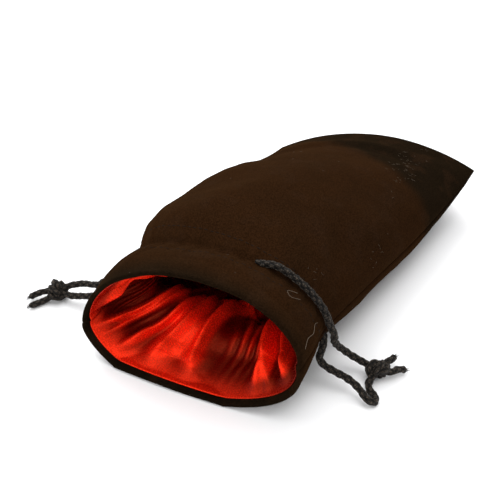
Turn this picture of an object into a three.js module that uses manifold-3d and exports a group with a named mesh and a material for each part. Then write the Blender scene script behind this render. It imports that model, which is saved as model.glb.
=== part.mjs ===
// Drawstring dice bag lying on its side: velvet outside, satin lining, two braided drawcords.
// Millimetres, +Z up, mouth towards -Y, right side towards +X, resting on the plane z = 0.
// The origin is the middle of the flat patch that the belly rests on.
import * as THREE from "three";
import { mergeVertices } from "three/addons/utils/BufferGeometryUtils.js";
import Module from "manifold-3d";

const wasm = await Module();
wasm.setup();

// Driving dimensions of the bag
const HEADER_LENGTH = 25;      // mouth edge to the gathered crease
const SHOULDER_LENGTH = 16;    // crease to the shoulder
const BELLY_LENGTH = 34;       // shoulder to the middle of the belly
const TAIL_LENGTH = 101;       // middle of the belly to the bottom seam
const BELLY_Y = -12;           // where the middle of the belly lies
const FLAT_WIDTH = 127;        // width of a panel laid flat, which the four widths below share
const MOUTH_WIDTH = (95 / 127) * FLAT_WIDTH;
const NECK_WIDTH = (86.5 / 127) * FLAT_WIDTH;
const BODY_WIDTH = (104 / 127) * FLAT_WIDTH;
const TAIL_WIDTH = (122 / 127) * FLAT_WIDTH;
const MOUTH_HEIGHT = 56;
const NECK_HEIGHT = 48;
const BODY_HEIGHT = 53;

// Cloth, seams and thread
const VELVET = 1.2;            // velvet thickness
const HEM = 2.2;               // velvet folded back on itself round the mouth
const HEM_LENGTH = 5;
const SATIN = 0.4;             // lining thickness
const GAP = 0.3;               // clearance between pieces that touch
const ALLOWANCE = 0.7;         // thickness of the sewn seam allowances
const ALLOWANCE_WIDTH = 6;
const THREAD = 0.5;            // thread diameter of the casing stitching

// Drawcords
const CORD = 3.2;              // cord diameter
const CASING = 12.5;           // distance between the two casing stitch rows
const CORD_SPACING = CORD + 0.5;
const PASSAGE = CORD / 2 + 0.45;   // radius of the opening that a cord passes

// The part of the upper mouth that closes when the cords are pulled
const LIP_HALF_WIDTH = 26;
const LIP_HINGE_Y = -10;

// Where sewn parts start and stop
const LINING_SHORT = 12;       // the lining ends this far before the bottom seam
const SEAM_END = 34;           // the side allowances end this far before the bottom seam
const STITCH_MARGIN = 1;

// Derived depths below the outer surface
const LINING = VELVET + ALLOWANCE + 4 * GAP;
const CHANNEL = VELVET + CORD + 3.3 * GAP;
const CORD_DEPTH = VELVET + 1.4 * GAP + CORD / 2;

// Stations along the bag: y, left and right edge, seam heights, rise of the upper panel and drop of
// the lower one, arch of the seam, fullness of the upper left side, of the lower left side and of the
// lower right side (below 1 is square, above 1 is hollow), turn and jut of the mouth.
const CREASE_Y = BELLY_Y - BELLY_LENGTH - SHOULDER_LENGTH;
const TAIL_Y = BELLY_Y + TAIL_LENGTH;
const STATIONS = [
  { y: CREASE_Y - HEADER_LENGTH, left: 2 - MOUTH_WIDTH / 2 - 4, right: MOUTH_WIDTH / 2 - 2,
    seamLeft: 15, seamRight: 27, rise: MOUTH_HEIGHT - 21, drop: 24.5, arch: 0, full: 1.2,
    underLeft: 1.5, underRight: 0.6, turn: 4.5, jut: 6.5 },
  { y: CREASE_Y - HEADER_LENGTH / 2, left: -NECK_WIDTH / 2 - 3.8, right: NECK_WIDTH / 2 + 1.7,
    seamLeft: 19, seamRight: 26.5, rise: NECK_HEIGHT - 16.5, drop: 20.5, arch: 0, full: 0.8,
    underLeft: 1, underRight: 0.9, turn: 3, jut: 3 },
  { y: CREASE_Y, left: -NECK_WIDTH / 2 + 1.2, right: NECK_WIDTH / 2 + 0.5, seamLeft: 24,
    seamRight: 25.5, rise: NECK_HEIGHT - 22, drop: 17.5, arch: 0, full: 0.65,
    underLeft: 0.8, underRight: 1, turn: 1, jut: 0 },
  { y: BELLY_Y - BELLY_LENGTH, left: -BODY_WIDTH / 2 + 3, right: BODY_WIDTH / 2 - 7.7, seamLeft: 24,
    seamRight: 23, rise: BODY_HEIGHT - 21.5, drop: 23, arch: 0, full: 0.8,
    underLeft: 0.6, underRight: 0.95, turn: 0, jut: 0 },
  { y: BELLY_Y, left: -BODY_WIDTH / 2, right: BODY_WIDTH / 2 - 3.2, seamLeft: 19,
    seamRight: 21, rise: BODY_HEIGHT - 19.5, drop: 21.5, arch: 0, full: 0.95,
    underLeft: 0.6, underRight: 0.8, turn: 0, jut: 0 },
  { y: BELLY_Y + 0.34 * TAIL_LENGTH, left: -TAIL_WIDTH / 2 + 7, right: TAIL_WIDTH / 2 - 7,
    seamLeft: 13, seamRight: 20, rise: BODY_HEIGHT - 26, drop: 18, arch: 2, full: 1.15,
    underLeft: 0.6, underRight: 0.7, turn: 0, jut: 0 },
  { y: BELLY_Y + 0.63 * TAIL_LENGTH, left: -TAIL_WIDTH / 2 + 8, right: TAIL_WIDTH / 2 - 3.5,
    seamLeft: 8, seamRight: 20.5, rise: 17, drop: 14.5, arch: 5, full: 1.25,
    underLeft: 0.6, underRight: 0.6, turn: 0, jut: 0 },
  { y: BELLY_Y + 0.85 * TAIL_LENGTH, left: -TAIL_WIDTH / 2 + 10, right: TAIL_WIDTH / 2 - 1,
    seamLeft: 5, seamRight: 21.5, rise: 7.5, drop: 7, arch: 11, full: 1.1,
    underLeft: 0.6, underRight: 0.6, turn: 0, jut: 0 },
  { y: TAIL_Y, left: -TAIL_WIDTH / 2 + 11, right: TAIL_WIDTH / 2, seamLeft: 4.5, seamRight: 22,
    rise: VELVET + 0.1, drop: VELVET + 0.1, arch: 14, full: 1,
    underLeft: 0.6, underRight: 0.6, turn: 0, jut: 0 },
];
const LAST = STATIONS.length - 1;

const TURN = 2 * Math.PI;

const velvet = new THREE.MeshStandardMaterial({ color: 0x17110d, roughness: 0.95, metalness: 0 });
const satin = new THREE.MeshStandardMaterial({ color: 0xe01808, roughness: 0.35, metalness: 0 });
const braid = new THREE.MeshStandardMaterial({ color: 0x151412, roughness: 0.8, metalness: 0 });
const thread = new THREE.MeshStandardMaterial({ color: 0x2a221c, roughness: 0.7, metalness: 0 });

const bag = new THREE.Group();

function addMesh(name, geometry, material) {
  const mesh = new THREE.Mesh(geometry, material);
  mesh.name = name;
  bag.add(mesh);
}

// Catmull-Rom value of one station field at the running station number u
function along(field, u) {
  const i = Math.min(Math.floor(u), LAST - 1);
  const t = u - i;
  const b = STATIONS[i][field];
  const c = STATIONS[i + 1][field];
  const a = i > 0 ? STATIONS[i - 1][field] : 2 * b - c;
  const d = i + 2 <= LAST ? STATIONS[i + 2][field] : 2 * c - b;
  const linear = (c - a) * t;
  const square = (2 * a - 5 * b + 4 * c - d) * t * t;
  const cube = (3 * (b - c) + d - a) * t * t * t;
  return b + 0.5 * (linear + square + cube);
}

// Running station number at a given y
function stationAt(y) {
  let low = 0;
  let high = LAST;
  for (let i = 0; i < 40; i += 1) {
    const middle = (low + high) / 2;
    if (along("y", middle) < y) low = middle;
    else high = middle;
  }
  return (low + high) / 2;
}

// Point of the bag at station u and angle (0 right seam, 90 degrees crown, 180 left seam, 270 underside),
// at a depth below the outer surface.
function skin(u, angle, depth, under = angle % TURN > Math.PI) {
  const half = (along("right", u) - along("left", u)) / 2;
  const middle = (along("right", u) + along("left", u)) / 2;
  const up = Math.sin(angle);
  const x = middle + (half - depth) * Math.cos(angle);
  const across = (x - middle) / half;
  const lean = (1 + across) / 2;
  const level = along("seamLeft", u) * (1 - lean) + along("seamRight", u) * lean;
  const seam = level + along("arch", u) * (1 - across * across);
  const y = along("y", u) + along("turn", u) * across - along("jut", u) * Math.max(0, -up);
  if (!under) {
    const full = 1 + (along("full", u) - 1) * THREE.MathUtils.smoothstep(-across, -0.3, 0.9);
    const rise = Math.max(along("rise", u) - depth, 0);
    return new THREE.Vector3(x, y, seam + GAP / 2 + rise * Math.pow(Math.max(up, 0), full));
  }
  const drop = Math.max(along("drop", u) - depth, 0);
  const leftward = THREE.MathUtils.smoothstep(-across, -0.3, 0.9);
  const full = THREE.MathUtils.lerp(along("underRight", u), along("underLeft", u), leftward);
  const z = seam - GAP / 2 - drop * Math.pow(Math.max(-up, 0), full);
  return new THREE.Vector3(x, y, Math.max(z, depth));
}

// Angle at which the bag's side stands a height above or below its seam
function sideAngle(u, side, height, depth) {
  const reach = height > 0 ? along("rise", u) : along("drop", u);
  const left = side === "left";
  const above = left ? along("full", u) : 1;
  const power = height > 0 ? above : along(left ? "underLeft" : "underRight", u);
  const share = Math.min(Math.abs(height) / (reach - depth), 1);
  const turn = Math.sign(height) * Math.asin(Math.pow(share, 1 / power));
  if (left) return Math.PI - turn;
  return height < 0 ? TURN + turn : turn;
}

function velvetDepth(u) {
  const fromMouth = along("y", u) - STATIONS[0].y;
  return VELVET + (HEM - VELVET) * (1 - THREE.MathUtils.smoothstep(fromMouth, HEM_LENGTH, HEM_LENGTH + 2));
}

function liningDepth(u) {
  const fromCrease = Math.abs(along("y", u) - CREASE_Y);
  const channel = 1 - THREE.MathUtils.smoothstep(fromCrease, CORD_SPACING, CASING / 2 + 5);
  return LINING + (CHANNEL - LINING) * channel;
}

// Closed shell between two depths, over a stretch of stations and half a turn of angle
function shell(uStart, uEnd, rows, turnStart, columns, outer, inner) {
  const positions = [];
  const faces = [];
  const wide = columns + 1;
  const layer = wide * (rows + 1);
  for (const depthOf of [outer, inner]) {
    for (let i = 0; i <= rows; i += 1) {
      const u = uStart + ((uEnd - uStart) * i) / rows;
      for (let j = 0; j <= columns; j += 1) {
        const angle = turnStart + (Math.PI * j) / columns;
        positions.push(...skin(u, angle, depthOf(u), turnStart > 0).toArray());
      }
    }
  }
  function quad(a, b, c, d) {
    faces.push(a, b, c, a, c, d);
  }
  for (let i = 0; i < rows; i += 1) {
    for (let j = 0; j < columns; j += 1) {
      const k = i * wide + j;
      quad(k, k + wide, k + wide + 1, k + 1);
      quad(layer + k, layer + k + 1, layer + k + wide + 1, layer + k + wide);
    }
    const right = i * wide;
    quad(right, layer + right, layer + right + wide, right + wide);
    const left = right + columns;
    quad(left, left + wide, layer + left + wide, layer + left);
  }
  for (let j = 0; j < columns; j += 1) {
    quad(j, j + 1, layer + j + 1, layer + j);
    const k = rows * wide + j;
    quad(k, layer + k, layer + k + 1, k + 1);
  }
  const geometry = new THREE.BufferGeometry();
  geometry.setAttribute("position", new THREE.Float32BufferAttribute(positions, 3));
  geometry.setIndex(faces);
  return geometry;
}

function solidOf(geometry) {
  const bare = geometry.clone();
  bare.deleteAttribute("normal");
  bare.deleteAttribute("uv");
  const merged = mergeVertices(bare, 1e-4);
  const vertProperties = new Float32Array(merged.attributes.position.array);
  const triVerts = new Uint32Array(merged.index.array);
  return new wasm.Manifold(new wasm.Mesh({ numProp: 3, vertProperties, triVerts }));
}

function geometryOf(solid) {
  const mesh = solid.getMesh();
  const geometry = new THREE.BufferGeometry();
  geometry.setAttribute("position", new THREE.Float32BufferAttribute(mesh.vertProperties, 3));
  geometry.setIndex(new THREE.Uint32BufferAttribute(mesh.triVerts, 1));
  return geometry;
}

function withTools(geometry, tools, action) {
  return geometryOf(tools.reduce((body, tool) => body[action](tool), solidOf(geometry)));
}

// Tube of round section along hand-set points, given as [x, y, z]
function tube(points, radius, steps, sides = 8) {
  const curve = new THREE.CatmullRomCurve3(points.map((p) => new THREE.Vector3(...p)), false, "centripetal");
  return tubeAlong(curve, radius, steps, sides);
}

function tubeAlong(curve, radius, steps, sides) {
  const outline = new THREE.Shape();
  for (let i = 0; i < sides; i += 1) {
    const angle = (TURN * i) / sides;
    outline[i ? "lineTo" : "moveTo"](radius * Math.cos(angle), radius * Math.sin(angle));
  }
  return new THREE.ExtrudeGeometry(outline, { steps, extrudePath: curve, curveSegments: 1 });
}

// Tube that follows the bag round at one y, between two angles, at a depth
function ringTube(y, from, to, depth, radius, steps, sides = 8) {
  const u = stationAt(y);
  const points = [];
  for (let i = 0; i <= steps; i += 1) {
    const angle = from + ((to - from) * i) / steps;
    points.push(skin(u, angle, depth).toArray());
  }
  return tube(points, radius, steps, sides);
}

function boxSolid(low, high) {
  const size = new THREE.Vector3(...high).sub(new THREE.Vector3(...low));
  const box = new THREE.BoxGeometry(size.x, size.y, size.z);
  box.translate(low[0] + size.x / 2, low[1] + size.y / 2, low[2] + size.z / 2);
  return solidOf(box);
}

// The window that the lip fills, and the slightly larger one cut from the pieces round it
function lipWindow(margin) {
  const half = LIP_HALF_WIDTH + margin;
  const front = STATIONS[0].y - HEADER_LENGTH;
  return boxSolid([-half, front, MOUTH_HEIGHT / 2], [half, LIP_HINGE_Y + margin, MOUTH_HEIGHT + BODY_HEIGHT]);
}
const lipKeep = lipWindow(-GAP / 2);
const lipCut = lipWindow(GAP / 2);

// Where the cords leave the casing
const leftY = CREASE_Y - CORD_SPACING / 2;
const rightY = CREASE_Y + CORD_SPACING / 2;
const leftExit = skin(stationAt(leftY), Math.PI, CORD_DEPTH);
const rightExit = skin(stationAt(rightY), 0, CORD_DEPTH);

// Routes of the free cords: offsets from the exit, then points on the table
function route(exit, offsets) {
  return offsets.map(([x, y, z]) => [exit.x + x, exit.y + y, exit.z + z]);
}
const onTable = CORD / 2 + 0.1;
const KNOT_SIZE = [5.1, 4.5, 4.4];
const KNOT_LOBE = 0.07;
const leftKnotAt = [-80.5, -72.8, 4.6];
const rightKnotAt = [63.2, -48.9, 4.6];
const LEFT_UPPER = [...route(leftExit, [[-1, 0, 2.1], [-6, 0.1, 0.9], [-12.5, -0.1, -4]]),
  [-57.5, -65.6, 14.5], [-62.4, -66.7, 10.8], [-69.4, -67.3, 9], [-72.8, -68.7, 8.2], [-75.4, -70, 7.4]];
const LEFT_LOWER = [...route(leftExit, [[-1, -0.2, -2.1], [-3.6, -0.3, -2.2], [-7, -1.3, -4.6], [-11.6, -2.6, -8.6]]),
  [-56.6, -69, 10.6], [-62.7, -70.7, 7.2], [-67.4, -71.9, 6], [-70.8, -72.7, 5.2], [-74.2, -73.1, 4.7]];
const RIGHT_UPPER = [...route(rightExit, [[1, 0, 2.1], [4.6, 0.2, 1.6]]),
  [47, -57.2, 20], [47.8, -54.4, 15.2], [49.8, -52.5, 12], [52.2, -50.9, 9.2], [56.6, -49.6, 6.6]];
const RIGHT_LOWER = [...route(rightExit, [[1, 0, -2.1], [3, -0.2, -2.5], [3.6, -1.8, -6.6]]), [43.9, -63.2, 14.6],
  [46, -63.4, 11.8], [50.4, -62.5, 9.4], [54.6, -61.8, 7.8], [58.6, -62, 6.4], [62, -63, 4.9],
  [65.4, -64.3, 3], [67.9, -62.8, onTable], [66.9, -60.2, onTable], [64.4, -58.4, onTable],
  [62.7, -56.2, 2.3], [62.6, -54.2, 3.2]];
const LEFT_TAIL_FRONT = [[-82.4, -77.8, 2.7], [-83.7, -79.2, 2], [-85.4, -81.8, onTable],
  [-87, -84.8, onTable]];
const LEFT_TAIL_BACK = [[-85.6, -75.3, 3.8], [-87.4, -76.4, 3.3], [-89.4, -78.2, 2.6], [-91, -80.3, 1.9]];
const RIGHT_TAIL_FRONT = [[68.8, -47, 4.2], [70, -44.6, 3.8], [71.4, -42.6, 2.8], [72.8, -41.2, 1.9]];
const RIGHT_TAIL_BACK = [[65.6, -43.9, 5.4], [66.5, -41.4, 5], [67.2, -39, 4.6]];

// Cord that lies in the crease outside, from its buttonhole to the right seam. It comes up through
// the hole over the angles before HOLE_AFTER, and ends at SEAM_ANGLE.
const BUTTONHOLE_X = 17;
const HOLE_BEFORE = 0.17;
const HOLE_MIDDLE = 0.09;
const HOLE_AFTER = 0.1;
const SEAM_ANGLE = 0.17;
function angleAtX(u, x, depth) {
  const half = (along("right", u) - along("left", u)) / 2 - depth;
  const middle = (along("right", u) + along("left", u)) / 2;
  return Math.acos(THREE.MathUtils.clamp((x - middle) / half, -1, 1));
}
const creaseU = stationAt(rightY);
const outside = -(CORD / 2 + 1.8 * GAP);
const holeAngle = angleAtX(creaseU, BUTTONHOLE_X, 0);
function creasePoint(angle, depth) {
  return skin(creaseU, angle, depth).toArray();
}
const creaseStart = holeAngle - HOLE_AFTER;
const creaseRoute = [creasePoint(holeAngle + HOLE_BEFORE, CORD_DEPTH),
  creasePoint(holeAngle + HOLE_MIDDLE, CORD_DEPTH - 1.1), creasePoint(holeAngle, 1),
  creasePoint(creaseStart, outside + 0.7)];
const CREASE_POINTS = 9;
for (let i = 1; i <= CREASE_POINTS; i += 1) {
  creaseRoute.push(creasePoint(creaseStart - ((creaseStart - SEAM_ANGLE) * i) / CREASE_POINTS, outside));
}

// Openings in the velvet where cords pass
const passages = [LEFT_UPPER, LEFT_LOWER, RIGHT_UPPER, RIGHT_LOWER]
  .map((points) => solidOf(tube(points.slice(0, 4), PASSAGE, 6)));
passages.push(solidOf(tube(creaseRoute.slice(0, 7), PASSAGE, 12)));

// Velvet and satin panels, with the lip cut out of the upper ones
const PANEL_ROWS = 24;
const PANEL_COLUMNS = 18;
const outerFace = () => 0;
const velvetUpper = shell(0, LAST, PANEL_ROWS, 0, PANEL_COLUMNS, outerFace, velvetDepth);
const velvetLower = shell(0, LAST, PANEL_ROWS, Math.PI, PANEL_COLUMNS, outerFace, velvetDepth);
addMesh("velvet_upper_panel", withTools(velvetUpper, [lipCut, ...passages], "subtract"), velvet);
const lipVelvet = withTools(velvetUpper, [lipKeep], "intersect");
addMesh("velvet_upper_lip", withTools(lipVelvet, passages, "subtract"), velvet);
addMesh("velvet_lower_panel", withTools(velvetLower, passages, "subtract"), velvet);

const satinStart = stationAt(STATIONS[0].y + 1.6);
const satinEnd = stationAt(TAIL_Y - LINING_SHORT);
const SATIN_ROWS = 20;
const SATIN_COLUMNS = 16;
const satinInner = (u) => liningDepth(u) + SATIN;
const satinUpper = shell(satinStart, satinEnd, SATIN_ROWS, 0, SATIN_COLUMNS, liningDepth, satinInner);
const satinLower = shell(satinStart, satinEnd, SATIN_ROWS, Math.PI, SATIN_COLUMNS, liningDepth, satinInner);
addMesh("satin_upper_panel", withTools(satinUpper, [lipCut], "subtract"), satin);
addMesh("satin_upper_lip", withTools(satinUpper, [lipKeep], "intersect"), satin);
addMesh("satin_lower_panel", satinLower, satin);

// Closed bar through a list of sections with the same number of corners
function flatBar(sections) {
  const corners = sections[0].length;
  const positions = sections.flat(2);
  const faces = [];
  for (let i = 0; i < sections.length - 1; i += 1) {
    for (let k = 0; k < corners; k += 1) {
      const a = i * corners + k;
      const b = i * corners + ((k + 1) % corners);
      faces.push(a, a + corners, b + corners, a, b + corners, b);
    }
  }
  const end = (sections.length - 1) * corners;
  for (let k = 0; k < corners / 2 - 1; k += 1) {
    const far = corners - 1 - k;
    faces.push(k, k + 1, far, k + 1, far - 1, far);
    faces.push(end + k, end + far, end + k + 1, end + k + 1, end + far, end + far - 1);
  }
  const geometry = new THREE.BufferGeometry();
  geometry.setAttribute("position", new THREE.Float32BufferAttribute(positions, 3));
  geometry.setIndex(faces);
  return solidOf(geometry).volume() < 0 ? turnedOut(geometry) : geometry;
}

function turnedOut(geometry) {
  const faces = geometry.index.array;
  for (let i = 0; i < faces.length; i += 3) {
    const kept = faces[i + 1];
    faces[i + 1] = faces[i + 2];
    faces[i + 2] = kept;
  }
  return geometry;
}

// Seam allowance pressed flat behind a side seam, between two values of y
const STRIP_STEPS = 10;
function sideSeam(side, yStart, yEnd) {
  const heights = [-1, -0.4, 0.4, 1].map((share) => (share * ALLOWANCE_WIDTH) / 2);
  const sections = [];
  for (let i = 0; i <= STRIP_STEPS; i += 1) {
    const u = stationAt(yStart + ((yEnd - yStart) * i) / STRIP_STEPS);
    const front = velvetDepth(u) + 1.8 * GAP;
    const place = (height, depth) => skin(u, sideAngle(u, side, height, depth), depth).toArray();
    const outer = heights.map((height) => place(height, front));
    const inner = heights.map((height) => place(height, front + ALLOWANCE)).reverse();
    sections.push([...outer, ...inner]);
  }
  return flatBar(sections);
}

const CASING_HALF = CASING / 2;
for (const side of ["right", "left"]) {
  const mouthEnd = STATIONS[0].y + HEM_LENGTH + 3;
  const casingFront = CREASE_Y - CASING_HALF - STITCH_MARGIN;
  const casingRear = CREASE_Y + CASING_HALF + STITCH_MARGIN;
  addMesh(`side_seam_${side}_header`, sideSeam(side, mouthEnd, casingFront), velvet);
  addMesh(`side_seam_${side}_body`, sideSeam(side, casingRear, TAIL_Y - SEAM_END), velvet);
}

// Allowance of a bottom seam, lying between the two velvet panels at seam height
const SEAM_MARGIN = 0.08;      // share of the half turn left free at each corner
function bottomSeam(yFront, yBack) {
  const sections = [];
  const steps = 24;
  const [uFront, uBack] = [stationAt(yFront), stationAt(yBack)];
  const low = -(GAP + ALLOWANCE) / 2;
  const high = low + ALLOWANCE;
  for (let i = 0; i <= steps; i += 1) {
    const angle = Math.PI * (SEAM_MARGIN + ((1 - 2 * SEAM_MARGIN) * i) / steps);
    const front = skin(uFront, angle, along("rise", uFront));
    const back = skin(uBack, angle, along("rise", uBack));
    sections.push([[front.x, front.y, front.z + low], [back.x, back.y, back.z + low],
      [back.x, back.y, back.z + high], [front.x, front.y, front.z + high]]);
  }
  return flatBar(sections);
}
addMesh("bottom_seam", bottomSeam(TAIL_Y - 6, TAIL_Y - 3), velvet);
addMesh("lining_bottom_seam", bottomSeam(TAIL_Y - LINING_SHORT + 1, TAIL_Y - 7), satin);

// Casing stitch rows: one length of thread round the lower part, one across the lip
const threadDepth = -(1.3 * GAP + THREAD / 2);
const OVERLAP_ANGLE = 0.05;    // tubes run this far past the cut that trims them
const STITCH_ROWS = [["front", CREASE_Y - CASING_HALF], ["rear", CREASE_Y + CASING_HALF]];
for (const [row, y] of STITCH_ROWS) {
  const u = stationAt(y);
  const rightEnd = angleAtX(u, LIP_HALF_WIDTH, 0) - OVERLAP_ANGLE;
  const leftEnd = angleAtX(u, -LIP_HALF_WIDTH, 0) + OVERLAP_ANGLE;
  const lower = ringTube(y, leftEnd, TURN + rightEnd, threadDepth, THREAD / 2, 32, 4);
  const lip = ringTube(y, rightEnd, leftEnd, threadDepth, THREAD / 2, 12, 4);
  addMesh(`casing_stitching_${row}`, withTools(lower, [lipCut], "subtract"), thread);
  addMesh(`casing_stitching_${row}_lip`, withTools(lip, [lipKeep], "intersect"), thread);
}

// Stretches of the drawcords inside the casing
const runRadius = CORD / 2 - GAP / 3;
const EXIT_HEIGHT = 4.4;
function casingRun(y, from, to, steps) {
  return ringTube(y, from, to, CORD_DEPTH, runRadius, steps);
}
function cutAngles(y) {
  const u = stationAt(y);
  const right = angleAtX(u, LIP_HALF_WIDTH, CORD_DEPTH);
  const left = angleAtX(u, -LIP_HALF_WIDTH, CORD_DEPTH);
  return { right, left };
}
const leftCut = cutAngles(leftY);
const rightCut = cutAngles(rightY);
const runOver = OVERLAP_ANGLE + 0.01;
const leftLip = casingRun(leftY, leftCut.right - runOver, leftCut.left + runOver, 16);
const leftTop = sideAngle(stationAt(leftY), "left", EXIT_HEIGHT, CORD_DEPTH);
const leftUnder = sideAngle(stationAt(leftY), "left", -EXIT_HEIGHT, CORD_DEPTH);
const rightUnder = sideAngle(stationAt(rightY), "right", -EXIT_HEIGHT, CORD_DEPTH);
const leftShort = casingRun(leftY, leftCut.left - runOver, leftTop, 6);
const leftLong = casingRun(leftY, leftUnder, TURN + leftCut.right + runOver, 26);
const rightLip = casingRun(rightY, holeAngle + HOLE_BEFORE + 0.02, rightCut.left + runOver, 12);
const rightLong = casingRun(rightY, rightCut.left - runOver, rightUnder, 26);
addMesh("left_cord_run_lip", withTools(leftLip, [lipKeep], "intersect"), braid);
addMesh("left_cord_run_upper", withTools(leftShort, [lipCut], "subtract"), braid);
addMesh("left_cord_run_lower", withTools(leftLong, [lipCut], "subtract"), braid);
addMesh("right_cord_run_lip", withTools(rightLip, [lipKeep], "intersect"), braid);
addMesh("right_cord_run_lower", withTools(rightLong, [lipCut], "subtract"), braid);
const creaseCord = tube(creaseRoute, CORD / 2, 18);
addMesh("right_cord_crease_lip", withTools(creaseCord, [lipKeep], "intersect"), braid);
addMesh("right_cord_crease_side", withTools(creaseCord, [lipCut], "subtract"), braid);

// Free strands, knots and tails
function addFreeCord(name, points, steps) {
  addMesh(name, tube(points, CORD / 2, steps), braid);
}
addFreeCord("left_strand_upper", LEFT_UPPER, 14);
addFreeCord("left_strand_lower", LEFT_LOWER, 14);
addFreeCord("right_strand_upper", RIGHT_UPPER, 12);
addFreeCord("right_strand_lower", RIGHT_LOWER, 20);

// Overhand knot as a lobed ball with a flat place underneath
function knot(centre, size) {
  const ball = new THREE.SphereGeometry(1, 14, 10);
  const place = ball.attributes.position;
  const point = new THREE.Vector3();
  for (let i = 0; i < place.count; i += 1) {
    point.fromBufferAttribute(place, i);
    const around = Math.atan2(point.z, point.x);
    const lobes = 1 + KNOT_LOBE * Math.cos(3 * around + 4 * point.y) * (1 - point.y * point.y);
    point.multiplyScalar(lobes);
    place.setXYZ(i, centre[0] + point.x * size[0], centre[1] + point.y * size[1],
      Math.max(centre[2] + point.z * size[2], GAP / 3));
  }
  return ball;
}
addMesh("left_knot", knot(leftKnotAt, KNOT_SIZE), braid);
addMesh("right_knot", knot(rightKnotAt, KNOT_SIZE), braid);
addFreeCord("left_tail_front", LEFT_TAIL_FRONT, 4);
addFreeCord("left_tail_back", LEFT_TAIL_BACK, 4);
addFreeCord("right_tail_front", RIGHT_TAIL_FRONT, 4);
addFreeCord("right_tail_back", RIGHT_TAIL_BACK, 3);

export default bag;
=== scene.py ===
"""Drawstring dice bag: velvet outside, satin lining, two braided drawcords with knots.

The bag lies on its side with its mouth towards -Y. Sizes in the classes are in millimetres and
are turned into metres where a mesh is made.
"""

import logging
import math
from dataclasses import dataclass, field
from enum import Enum

import bmesh
import bpy
import numpy as np
from mathutils import Matrix, Vector


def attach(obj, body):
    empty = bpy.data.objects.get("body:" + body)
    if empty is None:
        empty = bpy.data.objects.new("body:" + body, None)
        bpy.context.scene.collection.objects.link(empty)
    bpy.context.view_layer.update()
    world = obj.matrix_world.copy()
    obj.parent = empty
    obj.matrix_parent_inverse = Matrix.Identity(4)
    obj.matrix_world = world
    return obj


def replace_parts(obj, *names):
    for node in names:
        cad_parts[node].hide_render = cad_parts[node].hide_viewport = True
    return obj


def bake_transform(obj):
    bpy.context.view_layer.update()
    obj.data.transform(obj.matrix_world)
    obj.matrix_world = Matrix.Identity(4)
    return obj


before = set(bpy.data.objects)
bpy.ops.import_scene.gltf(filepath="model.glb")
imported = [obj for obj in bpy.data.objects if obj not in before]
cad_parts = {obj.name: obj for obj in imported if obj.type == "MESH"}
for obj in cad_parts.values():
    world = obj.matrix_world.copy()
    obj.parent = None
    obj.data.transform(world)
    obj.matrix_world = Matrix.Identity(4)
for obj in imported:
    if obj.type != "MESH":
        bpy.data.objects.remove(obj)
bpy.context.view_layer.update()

LOG = logging.getLogger("dice_bag")
MM = 0.001
TURN = 2 * math.pi
Array = np.ndarray


class Side(Enum):
    """The half of the bag that a panel covers."""

    UPPER = 0
    UNDER = 1


@dataclass(frozen=True)
class Station:
    """One cross-section of the bag, in millimetres."""

    y: float
    left: float
    right: float
    seam_left: float
    seam_right: float
    rise: float
    drop: float
    arch: float
    full: float
    under_left: float
    under_right: float
    turn: float = 0.0
    jut: float = 0.0


VELVET = 1.2
HEM = 2.2
HEM_LENGTH = 5.0
SATIN = 0.4
GAP = 0.3
LINING = VELVET + 0.7 + 4 * GAP
CORD = 3.2
CHANNEL = VELVET + CORD + 3.3 * GAP
CORD_DEPTH = VELVET + 1.4 * GAP + CORD / 2
CORD_SPACING = CORD + 0.5
CASING = 12.5
CREASE_Y = -62.0
MOUTH_Y = -87.0
TAIL_Y = 89.0

STATIONS = (
    Station(MOUTH_Y, -49.5, 45.5, 15, 27, 35, 24.5, 0, 1.2, 1.5, 0.6, 4.5, 6.5),
    Station(-74.5, -47.05, 44.95, 19, 26.5, 31.5, 20.5, 0, 0.8, 1, 0.9, 3, 3),
    Station(CREASE_Y, -42.05, 43.75, 24, 25.5, 26, 17.5, 0, 0.65, 0.8, 1, 1),
    Station(-46, -49, 44.3, 24, 23, 31.5, 23, 0, 0.8, 0.6, 0.95),
    Station(-12, -52, 48.8, 19, 21, 33.5, 21.5, 0, 0.95, 0.6, 0.8),
    Station(22.34, -54, 54, 13, 20, 27, 18, 2, 1.15, 0.6, 0.7),
    Station(51.63, -53, 57.5, 8, 20.5, 17, 14.5, 5, 1.25, 0.6, 0.6),
    Station(73.85, -51, 60, 5, 21.5, 7.5, 7, 11, 1.1, 0.6, 0.6),
    Station(TAIL_Y, -50, 61, 4.5, 22, VELVET + 0.1, VELVET + 0.1, 14, 1, 0.6, 0.6),
)


def smoothstep(value: Array | float, low: float, high: float) -> Array:
    """Rises smoothly from 0 at low to 1 at high.

    Args:
        value: where to read the curve.
        low: the last value that gives 0.
        high: the first value that gives 1.

    Returns:
        The curve at value.
    """
    t = np.clip((np.asarray(value, float) - low) / (high - low), 0, 1)
    return t * t * (3 - 2 * t)


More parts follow.
